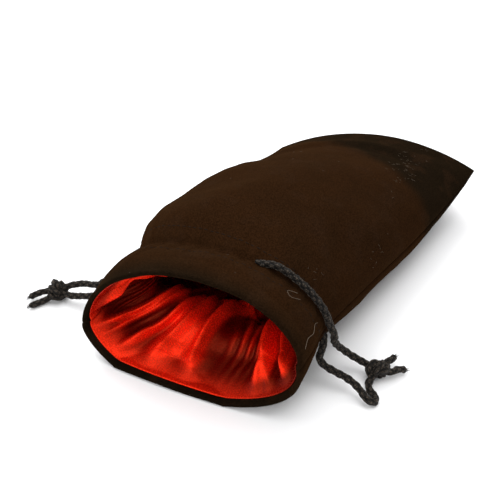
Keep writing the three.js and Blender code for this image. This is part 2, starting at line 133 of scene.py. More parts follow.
class BagForm:
    """The bag's lofted shape: points on it by station number and angle."""

    def __init__(self, stations: tuple[Station, ...]) -> None:
        """Keeps the stations as one array for each field."""
        self.last = len(stations) - 1
        names = Station.__dataclass_fields__
        self.columns = {n: np.array([getattr(s, n) for s in stations], float) for n in names}

    def value(self, name: str, u: Array) -> Array:
        """Catmull-Rom value of a station field.

        Args:
            name: the field.
            u: running station numbers.

        Returns:
            The field's values, in millimetres.
        """
        v = self.columns[name]
        i = np.clip(np.floor(u).astype(int), 0, self.last - 1)
        t = u - i
        b, c = v[i], v[i + 1]
        a = np.where(i > 0, v[np.maximum(i - 1, 0)], 2 * b - c)
        d = np.where(i + 2 <= self.last, v[np.minimum(i + 2, self.last)], 2 * c - b)
        square = (2 * a - 5 * b + 4 * c - d) * t**2
        cube = (3 * (b - c) + d - a) * t**3
        return b + 0.5 * ((c - a) * t + square + cube)

    def station_at(self, y: Array | float) -> Array:
        """Running station number at each y, in millimetres."""
        u = np.linspace(0, self.last, 4001)
        return np.interp(y, self.value("y", u), u)

    def skin(self, u: Array, angle: Array, depth: Array | float, under: Array | bool) -> Array:
        """Points at a depth below the outer surface.

        Args:
            u: running station numbers.
            angle: 0 at the right seam, a quarter turn at the crown, half a turn at the left seam.
            depth: how far below the outer surface, in millimetres.
            under: whether the point is on the lower panel.

        Returns:
            Points in millimetres, with a last axis of three.
        """
        left, right = self.value("left", u), self.value("right", u)
        half, middle = (right - left) / 2, (right + left) / 2
        up = np.sin(angle)
        x = middle + (half - depth) * np.cos(angle)
        across = (x - middle) / half
        lean = (1 + across) / 2
        level = self.value("seam_left", u) * (1 - lean) + self.value("seam_right", u) * lean
        seam = level + self.value("arch", u) * (1 - across**2)
        y = self.value("y", u) + self.value("turn", u) * across
        y = y - self.value("jut", u) * np.maximum(0, -up)
        leftward = smoothstep(-across, -0.3, 0.9)
        full = 1 + (self.value("full", u) - 1) * leftward
        rise = np.maximum(self.value("rise", u) - depth, 0)
        above = seam + GAP / 2 + rise * np.power(np.maximum(up, 0), full)
        drop = np.maximum(self.value("drop", u) - depth, 0)
        hollow = self.value("under_right", u) * (1 - leftward) + self.value("under_left", u) * leftward
        below = seam - GAP / 2 - drop * np.power(np.maximum(-up, 0), hollow)
        below = np.maximum(below, depth)
        return np.stack([x, y, np.where(under, below, above)], -1)

    def velvet_depth(self, u: Array) -> Array:
        """Depth of the velvet's inner face, thicker along the turned hem."""
        from_mouth = self.value("y", u) - MOUTH_Y
        return VELVET + (HEM - VELVET) * (1 - smoothstep(from_mouth, HEM_LENGTH, HEM_LENGTH + 2))

    def lining_depth(self, u: Array) -> Array:
        """Depth of the lining's outer face, deeper along the casing."""
        from_crease = np.abs(self.value("y", u) - CREASE_Y)
        channel = 1 - smoothstep(from_crease, CORD_SPACING, CASING / 2 + 5)
        return LINING + (CHANNEL - LINING) * channel


FORM = BagForm(STATIONS)


@dataclass(frozen=True)
class Fold:
    """A ridge or dent drawn across a panel from one place to another.

    Places are (angle in degrees, y in millimetres). The height is outwards from the bag.
    """

    start: tuple[float, float]
    end: tuple[float, float]
    width: float
    height: float
    taper: float = 0.35
    bow: float = 0.0

    def relief(self, across: Array, y: Array) -> Array:
        """Height of the fold.

        Args:
            across: distance round the bag, in millimetres.
            y: distance along the bag, in millimetres.

        Returns:
            Heights in millimetres.
        """
        a = np.array([math.radians(self.start[0]) * REACH, self.start[1]])
        b = np.array([math.radians(self.end[0]) * REACH, self.end[1]])
        run = b - a
        long = float(np.hypot(*run))
        t = ((across - a[0]) * run[0] + (y - a[1]) * run[1]) / long**2
        away = ((across - a[0]) * -run[1] + (y - a[1]) * run[0]) / long
        away = away - self.bow * 4 * t * (1 - t)
        ends = smoothstep(t, -self.taper, self.taper) * (1 - smoothstep(t, 1 - self.taper, 1 + self.taper))
        return self.height * np.exp(-((away / self.width) ** 2)) * ends


REACH = 46.0
PRESSED = 0.9
CLOTH_SCALE = 0.01


def noise(across: Array, y: Array, size: float, seed: int) -> Array:
    """Smooth repeatable noise between about -1 and 1.

    Args:
        across: distance round the bag, in millimetres.
        y: distance along the bag, in millimetres.
        size: the size of its lumps, in millimetres.
        seed: which noise.

    Returns:
        The noise.
    """
    random = np.random.default_rng(seed)
    total = np.zeros(np.broadcast(across, y).shape)
    waves = 9
    for _ in range(waves):
        direction = random.uniform(0, math.pi)
        phase = random.uniform(0, TURN)
        pitch = size * random.uniform(0.75, 1.5)
        run = across * math.cos(direction) + y * math.sin(direction)
        total = total + np.sin(TURN * run / pitch + phase)
    return total / math.sqrt(waves)


def add_object(name: str, points: Array, faces: list, material: bpy.types.Material) -> bpy.types.Object:
    """Makes a smooth mesh object at the origin.

    Args:
        name: the piece's name.
        points: its vertices in millimetres.
        faces: its faces as lists of vertex numbers.
        material: its finish.

    Returns:
        The new object.
    """
    mesh = bpy.data.meshes.new(name)
    mesh.from_pydata((np.asarray(points, float).reshape(-1, 3) * MM).tolist(), [], faces)
    mesh.update()
    mesh.polygons.foreach_set("use_smooth", [True] * len(mesh.polygons))
    mesh.materials.append(material)
    piece = bpy.data.objects.new(name, mesh)
    bpy.context.scene.collection.objects.link(piece)
    return piece


def add_uv(piece: bpy.types.Object, place: Array) -> None:
    """Adds a UV map from one place for each vertex.

    Args:
        piece: the piece to add it to.
        place: the UV place of each vertex.
    """
    layer = piece.data.uv_layers.new(name="surface")
    loops = np.zeros(len(piece.data.loops), int)
    piece.data.loops.foreach_get("vertex_index", loops)
    layer.data.foreach_set("uv", place[loops].astype(np.float32).ravel())


def face_out(piece: bpy.types.Object) -> None:
    """Turns every face of a closed piece outwards.

    Args:
        piece: the piece, whose mesh is closed.
    """
    work = bmesh.new()
    work.from_mesh(piece.data)
    bmesh.ops.recalc_face_normals(work, faces=work.faces)
    work.to_mesh(piece.data)
    work.free()


def grid_normals(grid: Array) -> Array:
    """Unit normals of a grid of points, pointing to the left of its rows.

    Args:
        grid: rows of points.

    Returns:
        One normal for each point.
    """
    along = np.gradient(grid, axis=0)
    across = np.gradient(grid, axis=1)
    normal = np.cross(across, along)
    return normal / np.maximum(np.linalg.norm(normal, axis=-1, keepdims=True), 1e-9)


@dataclass
class ClothPanel:
    """A half-shell of cloth with thickness, from seam to seam."""

    name: str
    side: Side
    u_start: float
    u_end: float
    rows: int
    columns: int
    folds: list[Fold]
    round_rim: bool = False
    rim_steps: int = 6

    def layers(
        self, outer: Array, inner: Array, relief: Array, grid: tuple[Array, Array]
    ) -> tuple[Array, Array]:
        """Outer and inner grids of points with the relief added along the surface's normal.

        Args:
            outer: depth of the outer face at each row.
            inner: depth of the inner face at each row.
            relief: heights over the grid.
            grid: station numbers and angles over the grid.

        Returns:
            The two grids, in millimetres.
        """
        u, angle = grid
        under = self.side is Side.UNDER
        top = FORM.skin(u, angle, outer, under)
        back = FORM.skin(u, angle, inner, under)
        normal = grid_normals(top)
        outward = top - top.mean(axis=1, keepdims=True)
        if np.mean(np.sum(normal * outward, -1)) < 0:
            normal = -normal
        top = top + normal * relief[..., None]
        back = back + normal * relief[..., None]
        for layer, lowest in ((top, outer), (back, inner)):
            layer[..., 2] = np.maximum(layer[..., 2], lowest * PRESSED)
        return top, back

    def grid(self) -> tuple[Array, Array, Array, Array]:
        """Station numbers, angles, distance round and y, over the panel's grid."""
        start = math.pi if self.side is Side.UNDER else 0.0
        u = np.linspace(self.u_start, self.u_end, self.rows + 1)[:, None] * np.ones(self.columns + 1)
        angle = start + np.linspace(0, math.pi, self.columns + 1)[None, :] * np.ones((self.rows + 1, 1))
        return u, angle, angle * REACH, FORM.value("y", u)

    def mesh(self, top: Array, back: Array, material: bpy.types.Material) -> bpy.types.Object:
        """Joins two layers into one closed mesh.

        Args:
            top: the outer grid.
            back: the inner grid.
            material: its finish.

        Returns:
            The panel.
        """
        rows, wide = self.rows + 1, self.columns + 1
        points = [top.reshape(-1, 3), back.reshape(-1, 3)]
        layer = rows * wide
        faces = []
        for i in range(rows - 1):
            for j in range(wide - 1):
                k = i * wide + j
                faces.append((k, k + wide, k + wide + 1, k + 1))
                faces.append((layer + k, layer + k + 1, layer + k + wide + 1, layer + k + wide))
            for k, out in ((i * wide, 1), (i * wide + wide - 1, -1)):
                loop = (k, layer + k, layer + k + wide, k + wide)
                faces.append(loop if out > 0 else loop[::-1])
        last = (rows - 1) * wide
        for j in range(wide - 1):
            faces.append((last + j, layer + last + j, layer + last + j + 1, last + j + 1))
        rim = self.rim_rows(top, back) if self.round_rim else []
        count = 2 * layer
        chain = [np.arange(wide)]
        for row in rim:
            points.append(row)
            chain.append(np.arange(count, count + wide))
            count += wide
        chain.append(np.arange(layer, layer + wide))
        for a, b in zip(chain[:-1], chain[1:]):
            for j in range(wide - 1):
                faces.append((a[j], a[j + 1], b[j + 1], b[j]))
        if rim:
            faces.append(tuple(int(c[0]) for c in chain))
            faces.append(tuple(int(c[-1]) for c in chain[::-1]))
        faces = [tuple(int(v) for v in f) for f in faces]
        piece = add_object(self.name, np.concatenate(points), faces, material)
        face_out(piece)
        _, _, across, y = self.grid()
        flat = np.stack([across.ravel(), y.ravel()], -1)
        spare = count - 2 * layer
        rim_place = np.tile(flat[:wide], (spare // wide, 1))
        cloth = np.concatenate([flat, flat, rim_place]) * CLOTH_SCALE
        add_uv(piece, cloth)
        return piece

    def rim_rows(self, top: Array, back: Array) -> list[Array]:
        """Rows that round the mouth edge, from the outer layer to the inner one.

        Args:
            top: the outer grid.
            back: the inner grid.

        Returns:
            The rows of points.
        """
        middle = (top[0] + back[0]) / 2
        radius = (top[0] - back[0]) / 2
        forward = top[0] - top[2]
        forward = forward / np.linalg.norm(forward, axis=-1, keepdims=True)
        size = np.linalg.norm(radius, axis=-1, keepdims=True)
        angles = [math.pi * (i + 1) / (self.rim_steps + 1) for i in range(self.rim_steps)]
        return [middle + radius * math.cos(a) + forward * size * math.sin(a) for a in angles]


class Velvet:
    """The two velvet panels with their creases and puckers."""

    upper_folds = [
        Fold((150, -30), (100, -8), 13, -1.6),
        Fold((112, -52), (84, 10), 9, 0.9),
        Fold((60, 62), (130, 54), 5, -1.5, bow=5),
        Fold((64, 70), (128, 64), 6, 1.0),
        Fold((24, -42), (60, -6), 7, -1.1),
        Fold((75, 20), (40, 66), 12, 1.4),
        Fold((115, 16), (150, 60), 10, -1.6),
        Fold((20, 0), (34, 50), 9, 0.9),
        Fold((14, -80), (66, -77), 2.2, -0.5),
        Fold((66, -77), (120, -76), 2.6, -0.4),
        Fold((172, -63), (68, -62), 1.9, -1.5, taper=0.05),
        Fold((68, -61), (8, -60), 2.4, -0.9, taper=0.1),
    ]
    under_folds = [
        Fold((205, -30), (225, 20), 9, -0.8),
        Fold((330, -20), (318, 40), 8, -0.8),
    ]
    gathered = 11.0
    pucker_pitch, pucker_height = 9.5, 0.28
    fine_pitch, fine_height = 5.3, 0.1
    seam_fade = 9.0
    groove_width, groove_depth = 1.1, 0.55

    def __init__(self, material: bpy.types.Material) -> None:
        """Takes the velvet's finish."""
        self.material = material

    def relief(self, panel: ClothPanel, across: Array, y: Array, angle: Array) -> Array:
        """Folds, puckers along the casing and a groove at the seams.

        Args:
            panel: which panel.
            across: distance round, in millimetres.
            y: distance along, in millimetres.
            angle: angle round, in radians.

        Returns:
            Heights in millimetres.
        """
        total = sum((fold.relief(across, y) for fold in panel.folds), np.zeros_like(y))
        near = np.exp(-(((y - CREASE_Y) / self.gathered) ** 2))
        wander = 2.2 * noise(across, y, 60, 3)
        spread = 0.12 * np.abs(y - CREASE_Y)
        pucker = np.sin(TURN * (across + wander + spread) / self.pucker_pitch)
        fine = np.sin(TURN * (across - wander) / self.fine_pitch + 1)
        total = total + near * (self.pucker_height * pucker + self.fine_height * fine)
        total = total + 0.35 * noise(across, y, 34, 8) + 0.12 * noise(across, y, 13, 9)
        to_seam = np.abs(np.sin(angle)) * REACH
        fade = smoothstep(to_seam, 0, self.seam_fade)
        tail = 1 - smoothstep(y, TAIL_Y - 16, TAIL_Y - 2)
        hem = smoothstep(y, MOUTH_Y, MOUTH_Y + 5)
        groove = -self.groove_depth * np.exp(-((to_seam / self.groove_width) ** 2)) * tail
        return total * fade * (0.15 + 0.85 * tail) * (0.5 + 0.5 * hem) + groove

    def outside(self, y: float, angle: float, lift: float) -> list:
        """A point over the creased outer surface.

        Args:
            y: place along the bag, in millimetres.
            angle: place round it, in radians.
            lift: height over the cloth, in millimetres.

        Returns:
            The point in millimetres.
        """
        turn = angle % TURN
        under = turn > math.pi
        folds = self.under_folds if under else self.upper_folds
        panel = ClothPanel("", Side.UNDER if under else Side.UPPER, 0, 0, 0, 0, folds)
        u = float(FORM.station_at(y))
        near = [FORM.skin(np.array(a), np.array(b), 0.0, under) for a, b in
                ((u, turn), (u + 0.02, turn), (u - 0.02, turn), (u, turn + 0.02), (u, turn - 0.02))]
        normal = np.cross(near[3] - near[4], near[1] - near[2])
        normal = normal / max(float(np.linalg.norm(normal)), 1e-9)
        centre = (FORM.skin(np.array(u), np.array(0.0), 0.0, False)
                  + FORM.skin(np.array(u), np.array(math.pi), 0.0, False)) / 2
        if np.dot(normal, near[0] - centre) < 0:
            normal = -normal
        relief = self.relief(panel, np.array(turn * REACH), np.array(y), np.array(turn))
        place = near[0] + normal * (float(relief) + lift)
        place[2] = max(place[2], 0.1)
        return place.tolist()

    def build(self) -> dict[Side, bpy.types.Object]:
        """Makes both panels.

        Returns:
            The panel on each side.
        """
        pieces = {}
        for side, name, folds, columns in (
            (Side.UPPER, "velvet_upper", self.upper_folds, 170),
            (Side.UNDER, "velvet_lower", self.under_folds, 130),
        ):
            panel = ClothPanel(name, side, 0, FORM.last, 230, columns, folds, round_rim=True)
            u, angle, across, y = panel.grid()
            relief = self.relief(panel, across, y, angle)
            top, back = panel.layers(np.zeros_like(u), FORM.velvet_depth(u), relief, (u, angle))
            pieces[side] = panel.mesh(top, back, self.material)
        return pieces


class SatinLining:
    """The two lining panels, pleated where the mouth gathers."""

    upper_folds = [
        Fold((177, -90), (140, -50), 4.2, -5.0),
        Fold((158, -90), (122, -48), 2.4, -4.2, bow=-3),
        Fold((140, -88), (112, -46), 2.0, -3.0),
        Fold((118, -88), (98, -44), 3.6, -5.0, bow=3),
        Fold((82, -86), (84, -46), 3.0, -3.4),
        Fold((52, -88), (70, -46), 4.6, -6.0),
        Fold((26, -90), (54, -48), 3.4, -5.2, bow=3),
        Fold((6, -90), (34, -50), 3.0, -4.4),
    ]
    under_folds = [
        Fold((186, -92), (238, -48), 2.6, -4.2),
        Fold((198, -94), (246, -48), 2.0, -3.0, bow=2),
        Fold((208, -96), (252, -50), 2.4, -4.6, bow=-2),
        Fold((232, -98), (262, -64), 7.0, -3.4),
        Fold((246, -80), (272, -40), 3.4, -5.0, bow=4),
        Fold((262, -97), (266, -72), 4.6, -4.2, bow=-3),
        Fold((266, -72), (281, -52), 2.6, -6.6, bow=5),
        Fold((281, -52), (270, -34), 3.2, -6.0, bow=-4),
        Fold((309, -97), (300, -50), 3.6, -6.4, bow=-5),
        Fold((330, -95), (312, -48), 2.6, -4.0, bow=5),
        Fold((347, -92), (322, -46), 3.8, -6.2, bow=4),
        Fold((200, -42), (250, 0), 6, -4.0),
        Fold((290, -38), (320, 10), 6, -4.4),
    ]

    gathered = 15.0
    gather_pitch, gather_height = 8.5, 0.7
    highest_ridge = 6.0
    mouth_inset, tail_inset = 0.9, 12.0

    def __init__(self, material: bpy.types.Material) -> None:
        """Takes the satin's finish."""
        self.material = material

    def relief(self, panel: ClothPanel, across: Array, y: Array, angle: Array) -> Array:
        """Pleats that start at the mouth seam and stand into the bag.

        Args:
            panel: which panel.
            across: distance round, in millimetres.
            y: distance along, in millimetres.
            angle: angle round, in radians.

        Returns:
            Heights in millimetres, negative into the bag.
        """
        total = sum((fold.relief(across, y) for fold in panel.folds), np.zeros_like(y))
        wander = 6.0 * noise(across, y, 60, 21)
        near = np.exp(-(((y - CREASE_Y) / self.gathered) ** 2))
        gather = np.sin(TURN * (across + wander) / self.gather_pitch)
        uneven = smoothstep(noise(across, 0 * y, 40, 27), -0.6, 1.0)
        total = total - near * (0.2 + self.gather_height * uneven * (1 + gather))
        total = total - 0.5 - 0.5 * noise(across, y, 26, 22) - 0.2 * noise(across, y, 9, 23)
        to_seam = np.abs(np.sin(angle)) * REACH
        fade = smoothstep(to_seam, 0, 7)
        hem = smoothstep(y, MOUTH_Y + 1, MOUTH_Y + 11)
        tail = 1 - smoothstep(y, TAIL_Y - 40, TAIL_Y - 16)
        tucked = 0.75 * (1 - smoothstep(y, MOUTH_Y + 1, MOUTH_Y + 7))
        return np.minimum(total, 0.3) * fade * hem * tail + tucked * smoothstep(to_seam, 0, 3)

    def build(self) -> dict[Side, bpy.types.Object]:
        """Makes both panels, with the height of their ridges kept for the painted shade in the finish's pleat
        valleys.

        Returns:
            The panel on each side.
        """
        pieces = {}
        start = float(FORM.station_at(MOUTH_Y + self.mouth_inset))
        end = float(FORM.station_at(TAIL_Y - self.tail_inset))
        for side, name, folds, columns in (
            (Side.UPPER, "satin_upper", self.upper_folds, 160),
            (Side.UNDER, "satin_lower", self.under_folds, 200),
        ):
            panel = ClothPanel(name, side, start, end, 200, columns, folds)
            u, angle, across, y = panel.grid()
            relief = self.relief(panel, across, y, angle)
            depth = FORM.lining_depth(u)
            top, back = panel.layers(depth, depth + SATIN, relief, (u, angle))
            pieces[side] = panel.mesh(top, back, self.material)
            stand = np.clip(-relief.ravel() / self.highest_ridge, 0, 1).astype(np.float32)
            ridge = pieces[side].data.attributes.new("ridge", "FLOAT", "POINT")
            ridge.data.foreach_set("value", np.tile(stand, 2))
        return pieces


def smooth_path(points: list, step: float) -> Array:
    """Evenly spaced points on a smooth curve through given ones.

    Args:
        points: the points to pass through, in millimetres.
        step: the spacing wanted, in millimetres.

    Returns:
        Points in millimetres.
    """
    p = np.array(points, float)
    p = np.vstack([2 * p[0] - p[1], p, 2 * p[-1] - p[-2]])
    fine = []
    for a, b, c, d in zip(p[:-3], p[1:-2], p[2:-1], p[3:]):
        t = np.linspace(0, 1, 40, endpoint=False)[:, None]
        square = (2 * a - 5 * b + 4 * c - d) * t**2
        fine.append(b + 0.5 * ((c - a) * t + square + (3 * (b - c) + d - a) * t**3))
    line = np.vstack([*fine, p[-2:-1]])
    gone = np.concatenate([[0], np.cumsum(np.linalg.norm(np.diff(line, axis=0), axis=1))])
    places = np.linspace(0, gone[-1], max(int(round(gone[-1] / step)), 4) + 1)
    return np.stack([np.interp(places, gone, line[:, k]) for k in range(3)], -1)


def path_length(line: Array) -> float:
    """Length of a path, in its own units."""
    return float(np.linalg.norm(np.diff(line, axis=0), axis=1).sum())


def frames(line: Array) -> tuple[Array, Array]:
    """Two unit vectors across a path at each point, turned as little as possible.

    Args:
        line: points along the path.

    Returns:
        The two vectors at each point.
    """
    tangent = np.gradient(line, axis=0)
    tangent = tangent / np.linalg.norm(tangent, axis=1, keepdims=True)
    first = np.cross(tangent[0], [0.3, 0.2, 1.0])
    first = first / np.linalg.norm(first)
    firsts = [first]
    for t in tangent[1:]:
        first = first - t * np.dot(first, t)
        first = first / np.linalg.norm(first)
        firsts.append(first)
    firsts = np.array(firsts)
    return firsts, np.cross(tangent, firsts)


@dataclass
class BraidedCord:
    """A round braid along a path, with its yarns in relief."""

    name: str
    points: list
    radius: float = CORD / 2
    yarns: int = 4
    pitch: float = 8.0
    relief: float = 0.75
    sides: int = 32
    step: float = 0.3
    end_taper: float = 0.0
    line: Array = field(init=False)

    def __post_init__(self) -> None:
        """Works out the centreline."""
        self.line = smooth_path(self.points, self.step)

    @property
    def length(self) -> float:
        """Length of the centreline, in metres."""
        return path_length(self.line) * MM

    def height(self, around: Array, along: Array) -> Array:
        """Height of the yarns, from 0 in the valleys to 1.

        Args:
            around: angle round the cord.
            along: distance along it, in millimetres.

        Returns:
            The height.
        """
        a = self.yarns * around / TURN + along / self.pitch * self.yarns / 2
        b = self.yarns * around / TURN - along / self.pitch * self.yarns / 2
        i, j = np.round(a), np.round(b)
        over = np.cos(math.pi * (b - i))
        under = np.cos(math.pi * (a - j))
        one = np.sqrt(np.maximum(0, 1 - (1.85 * (a - i)) ** 2)) * (0.62 + 0.38 * over)
        two = np.sqrt(np.maximum(0, 1 - (1.85 * (b - j)) ** 2)) * (0.62 - 0.38 * under)
        return np.maximum(one, two)

    def build(self, material: bpy.types.Material, seed: int = 1) -> bpy.types.Object:
        """Makes the braid.

        Args:
            material: its finish.
            seed: which irregularity it has.

        Returns:
            The cord.
        """
        line = self.line
        one, two = frames(line)
        gone = np.concatenate([[0], np.cumsum(np.linalg.norm(np.diff(line, axis=0), axis=1))])
        around = np.linspace(0, TURN, self.sides, endpoint=False)
        grid_a, grid_s = np.meshgrid(around, gone)
        wobble = 0.05 * noise(grid_a * self.radius, grid_s, 4.0, seed)
        yarn = self.height(grid_a, grid_s)
        radius = self.radius - self.relief * (1 - yarn) + wobble
        if self.end_taper:
            radius = radius * (1 - 0.3 * smoothstep(grid_s, gone[-1] - self.end_taper, gone[-1]))
        ring = np.cos(grid_a)[..., None] * one[:, None] + np.sin(grid_a)[..., None] * two[:, None]
        points = line[:, None] + ring * radius[..., None]
        points[..., 2] = np.maximum(points[..., 2], 0.05)
        rows, wide = points.shape[:2]
        faces = []
        for i in range(rows - 1):
            for j in range(wide):
                k, n = i * wide + j, i * wide + (j + 1) % wide
                faces.append((k, n, n + wide, k + wide))
        flat = points.reshape(-1, 3)
        ends = np.array([line[0], line[-1]])
        for j in range(wide):
            n = (j + 1) % wide
            faces.append((rows * wide, n, j))
            faces.append((rows * wide + 1, (rows - 1) * wide + j, (rows - 1) * wide + n))
        piece = add_object(self.name, np.vstack([flat, ends]), faces, material)
        face_out(piece)
        place = np.stack([grid_a.ravel() / TURN, grid_s.ravel() / 10], -1)
        add_uv(piece, np.vstack([place, place[:1], place[-1:]]))
        # The yarn height is kept for the finish's painted shade between the yarns.
        crown = piece.data.attributes.new("yarn", "FLOAT", "POINT")
        crown.data.foreach_set("value", np.append(yarn.ravel(), [0, 0]).astype(np.float32))
        return piece


def join(name: str, pieces: list[bpy.types.Object]) -> bpy.types.Object:
    """Joins pieces into one with a given name.

    Args:
        name: the joined piece's name.
        pieces: the pieces, all with one finish.

    Returns:
        The joined piece.
    """
    with bpy.context.temp_override(active_object=pieces[0], selected_editable_objects=pieces):
        bpy.ops.object.join()
    pieces[0].name = name
    return pieces[0]


@dataclass
class Knot:
    """An overhand knot in a doubled braid, as two interlocked three-lobed loops."""

    name: str
    centre: tuple[float, float, float]
    axis: tuple[float, float, float]
    size: float = 1.32
    flat: float = 1.3
    radius: float = 1.65

    def loop(self, turn: float, shrink: float) -> list:
        """Points of one closed loop.

        Args:
            turn: how far it is turned about the knot's axis, in radians.
            shrink: its size compared with the knot's.

        Returns:
            Points in millimetres.
        """
        z = Vector(self.axis).normalized()
        x = z.orthogonal().normalized()
        y = z.cross(x)
        points = []
        for t in np.linspace(0, TURN, 37):
            a = math.sin(t) + 2 * math.sin(2 * t)
            b = math.cos(t) - 2 * math.cos(2 * t)
            c = -math.sin(3 * t) * self.flat
            a, b = a * math.cos(turn) - b * math.sin(turn), a * math.sin(turn) + b * math.cos(turn)
            place = Vector(self.centre) + (x * a + y * b) * self.size * shrink + z * c * self.size
            place.z = max(place.z, self.radius + 0.1)
            points.append(list(place))
        return points

    def build(self, material: bpy.types.Material) -> bpy.types.Object:
        """Makes the knot.

        Args:
            material: the braid's finish.

        Returns:
            The knot.
        """
        loops = []
        for number, (turn, shrink) in enumerate(((0.0, 1.0), (math.pi / 3, 0.82))):
            points = self.loop(turn, shrink)
            cord = BraidedCord(f"{self.name}_{number}", points, radius=self.radius)
            loops.append(cord.build(material, seed=30 + number))
        return join(self.name, loops)


def skin_point(y: float, angle: float, depth: float, under: bool | None = None) -> list:
    """One point of the bag's surface.

    Args:
        y: the station's place along the bag, in millimetres.
        angle: place round it, in radians.
        depth: how far below the outer surface, in millimetres.
        under: whether it's on the lower panel, or None to go by the angle.

    Returns:
        The point in millimetres.
    """
    below = angle % TURN > math.pi if under is None else under
    u = np.array(float(FORM.station_at(y)))
    return FORM.skin(u, np.array(angle), depth, below).tolist()


class Drawcords:
    """Both drawcords: free strands, knots, tails, and the stretches in and on the casing."""

    left_y = CREASE_Y - CORD_SPACING / 2
    right_y = CREASE_Y + CORD_SPACING / 2
    on_table = CORD / 2 + 0.1
    left_knot = (-80.5, -72.8, 4.6)
    right_knot = (63.2, -48.9, 4.6)
    hole_x = 17.0
    outside = -(CORD / 2 + 1.8 * GAP)
    tail_radius, tail_taper = 1.55, 0.8
    hidden_radius, hidden_sides, hidden_step = 1.4, 12, 0.9

    def __init__(self, material: bpy.types.Material) -> None:
        """Takes the braid's finish and works out the exits."""
        self.material = material
        self.left_exit = np.array(skin_point(self.left_y, math.pi, CORD_DEPTH, False))
        self.right_exit = np.array(skin_point(self.right_y, 0, CORD_DEPTH, False))
        u = FORM.station_at(self.right_y)
        left, right = float(FORM.value("left", u)), float(FORM.value("right", u))
        self.hole_angle = math.acos((2 * self.hole_x - left - right) / (right - left))

    def routes(self) -> dict[str, list]:
        """The route of each free strand and tail, in millimetres."""
        low = self.on_table
        left, right = self.left_exit, self.right_exit
        seam = [skin_point(self.right_y, a, self.outside, False) for a in (0.3, 0.17)]
        knot_left, knot_right = list(self.left_knot), list(self.right_knot)
        return {
            "left_strand_upper": [
                *(left + [[-1, 0, 2.1], [-6, 0.1, 0.9], [-12.5, -0.1, -4]]).tolist(),
                [-57.5, -65.6, 14.5], [-62.4, -66.7, 10.8], [-69.4, -67.3, 9], [-72.8, -68.7, 8.2],
                [-75.4, -70, 7.4], knot_left,
            ],
            "left_strand_lower": [
                *(left + [[-1, -0.2, -2.1], [-3.6, -0.3, -2.2], [-7, -1.3, -4.6]]).tolist(),
                (left + [-11.6, -2.6, -8.6]).tolist(),
                [-56.6, -69, 10.6], [-62.7, -70.7, 7.2], [-67.4, -71.9, 6], [-70.8, -72.7, 5.2],
                [-74.2, -73.1, 4.7], knot_left,
            ],
            "right_strand_upper": [
                *seam, [47.3, -58.4, 24.4], [47, -57.2, 20], [47.8, -54.4, 15.2], [49.8, -52.5, 12],
                [52.2, -50.9, 9.2], [56.6, -49.6, 6.6], knot_right,
            ],
            "right_strand_lower": [
                *(right + [[1, 0, -2.1], [3, -0.2, -2.5], [3.6, -1.8, -6.6]]).tolist(),
                [43.9, -63.2, 14.6], [46, -63.4, 11.8], [50.4, -62.5, 9.4], [54.6, -61.8, 7.8],
                [58.6, -62, 6.4], [62, -63, 4.9], [65.4, -64.3, 3], [67.9, -62.8, low],
                [66.9, -60.2, low], [64.4, -58.4, low], [62.7, -56.2, 2.3], [62.6, -54.2, 3.2], knot_right,
            ],
            "left_tail_front": [
                [-81.4, -75, 4], [-82.4, -77.8, 2.7], [-83.7, -79.2, 2],
                [-85.4, -81.8, low], [-87, -84.8, low],
            ],
            "left_tail_back": [
                [-83, -74, 4.4], [-85.6, -75.3, 3.8], [-87.4, -76.4, 3.3],
                [-89.4, -78.2, 2.6], [-91, -80.3, 1.9],
            ],
            "right_tail_front": [
                [66, -48.4, 4.4], [68.8, -47, 4.2], [70, -44.6, 3.8], [71.4, -42.6, 2.8], [72.8, -41.2, 1.9],
            ],
            "right_tail_back": [
                [64.8, -46, 5.4], [65.6, -43.9, 5.4], [66.5, -41.4, 5], [67.2, -39, 4.6],
            ],
        }

    def side_angle(self, y: float, right: bool, height: float) -> float:
        """Angle at which a casing run stands a height above or below its seam.

        Args:
            y: the run's place along the bag, in millimetres.
            right: whether the seam is the right one.
            height: height over the seam in millimetres, below it if negative.

        Returns:
            The angle in radians.
        """
        u = np.array(float(FORM.station_at(y)))
        reach = float(FORM.value("rise" if height > 0 else "drop", u)) - CORD_DEPTH
        above = 1.0 if right else float(FORM.value("full", u))
        below = float(FORM.value("under_right" if right else "under_left", u))
        power = above if height > 0 else below
        turn = math.copysign(math.asin(min(abs(height) / reach, 1) ** (1 / power)), height)
        return (TURN if height < 0 else 0) + turn if right else math.pi - turn

    def build_strands(self) -> None:
        routes = self.routes()
        for side, centre, axis in (
            ("left", self.left_knot, (1.0, 0.25, 0.45)),
            ("right", self.right_knot, (-0.6, 1.0, 0.5)),
        ):
            body = f"{side}_drawcord"
            knot = Knot(f"{side}_knot_braided", centre, axis).build(self.material)
            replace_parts(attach(knot, body), f"{side}_knot")
            tails = []
            for number, place in enumerate(("front", "back")):
                name = f"{side}_tail_{place}"
                cord = BraidedCord(
                    f"{name}_braided", routes[name], radius=self.tail_radius, end_taper=self.tail_taper
                )
                tail = cord.build(self.material, seed=40 + number)
                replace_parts(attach(tail, body), name)
                tails.append(tail)
            for place, others in (("upper", [knot, tails[0]]), ("lower", [tails[1]])):
                name = f"{side}_strand_{place}"
                cord = BraidedCord(f"{name}_braided", routes[name])
                strand = cord.build(self.material, seed=50)
                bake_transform(strand)
                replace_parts(strand, name)
                LOG.info("%s: %.1f mm", name, cord.length / MM)

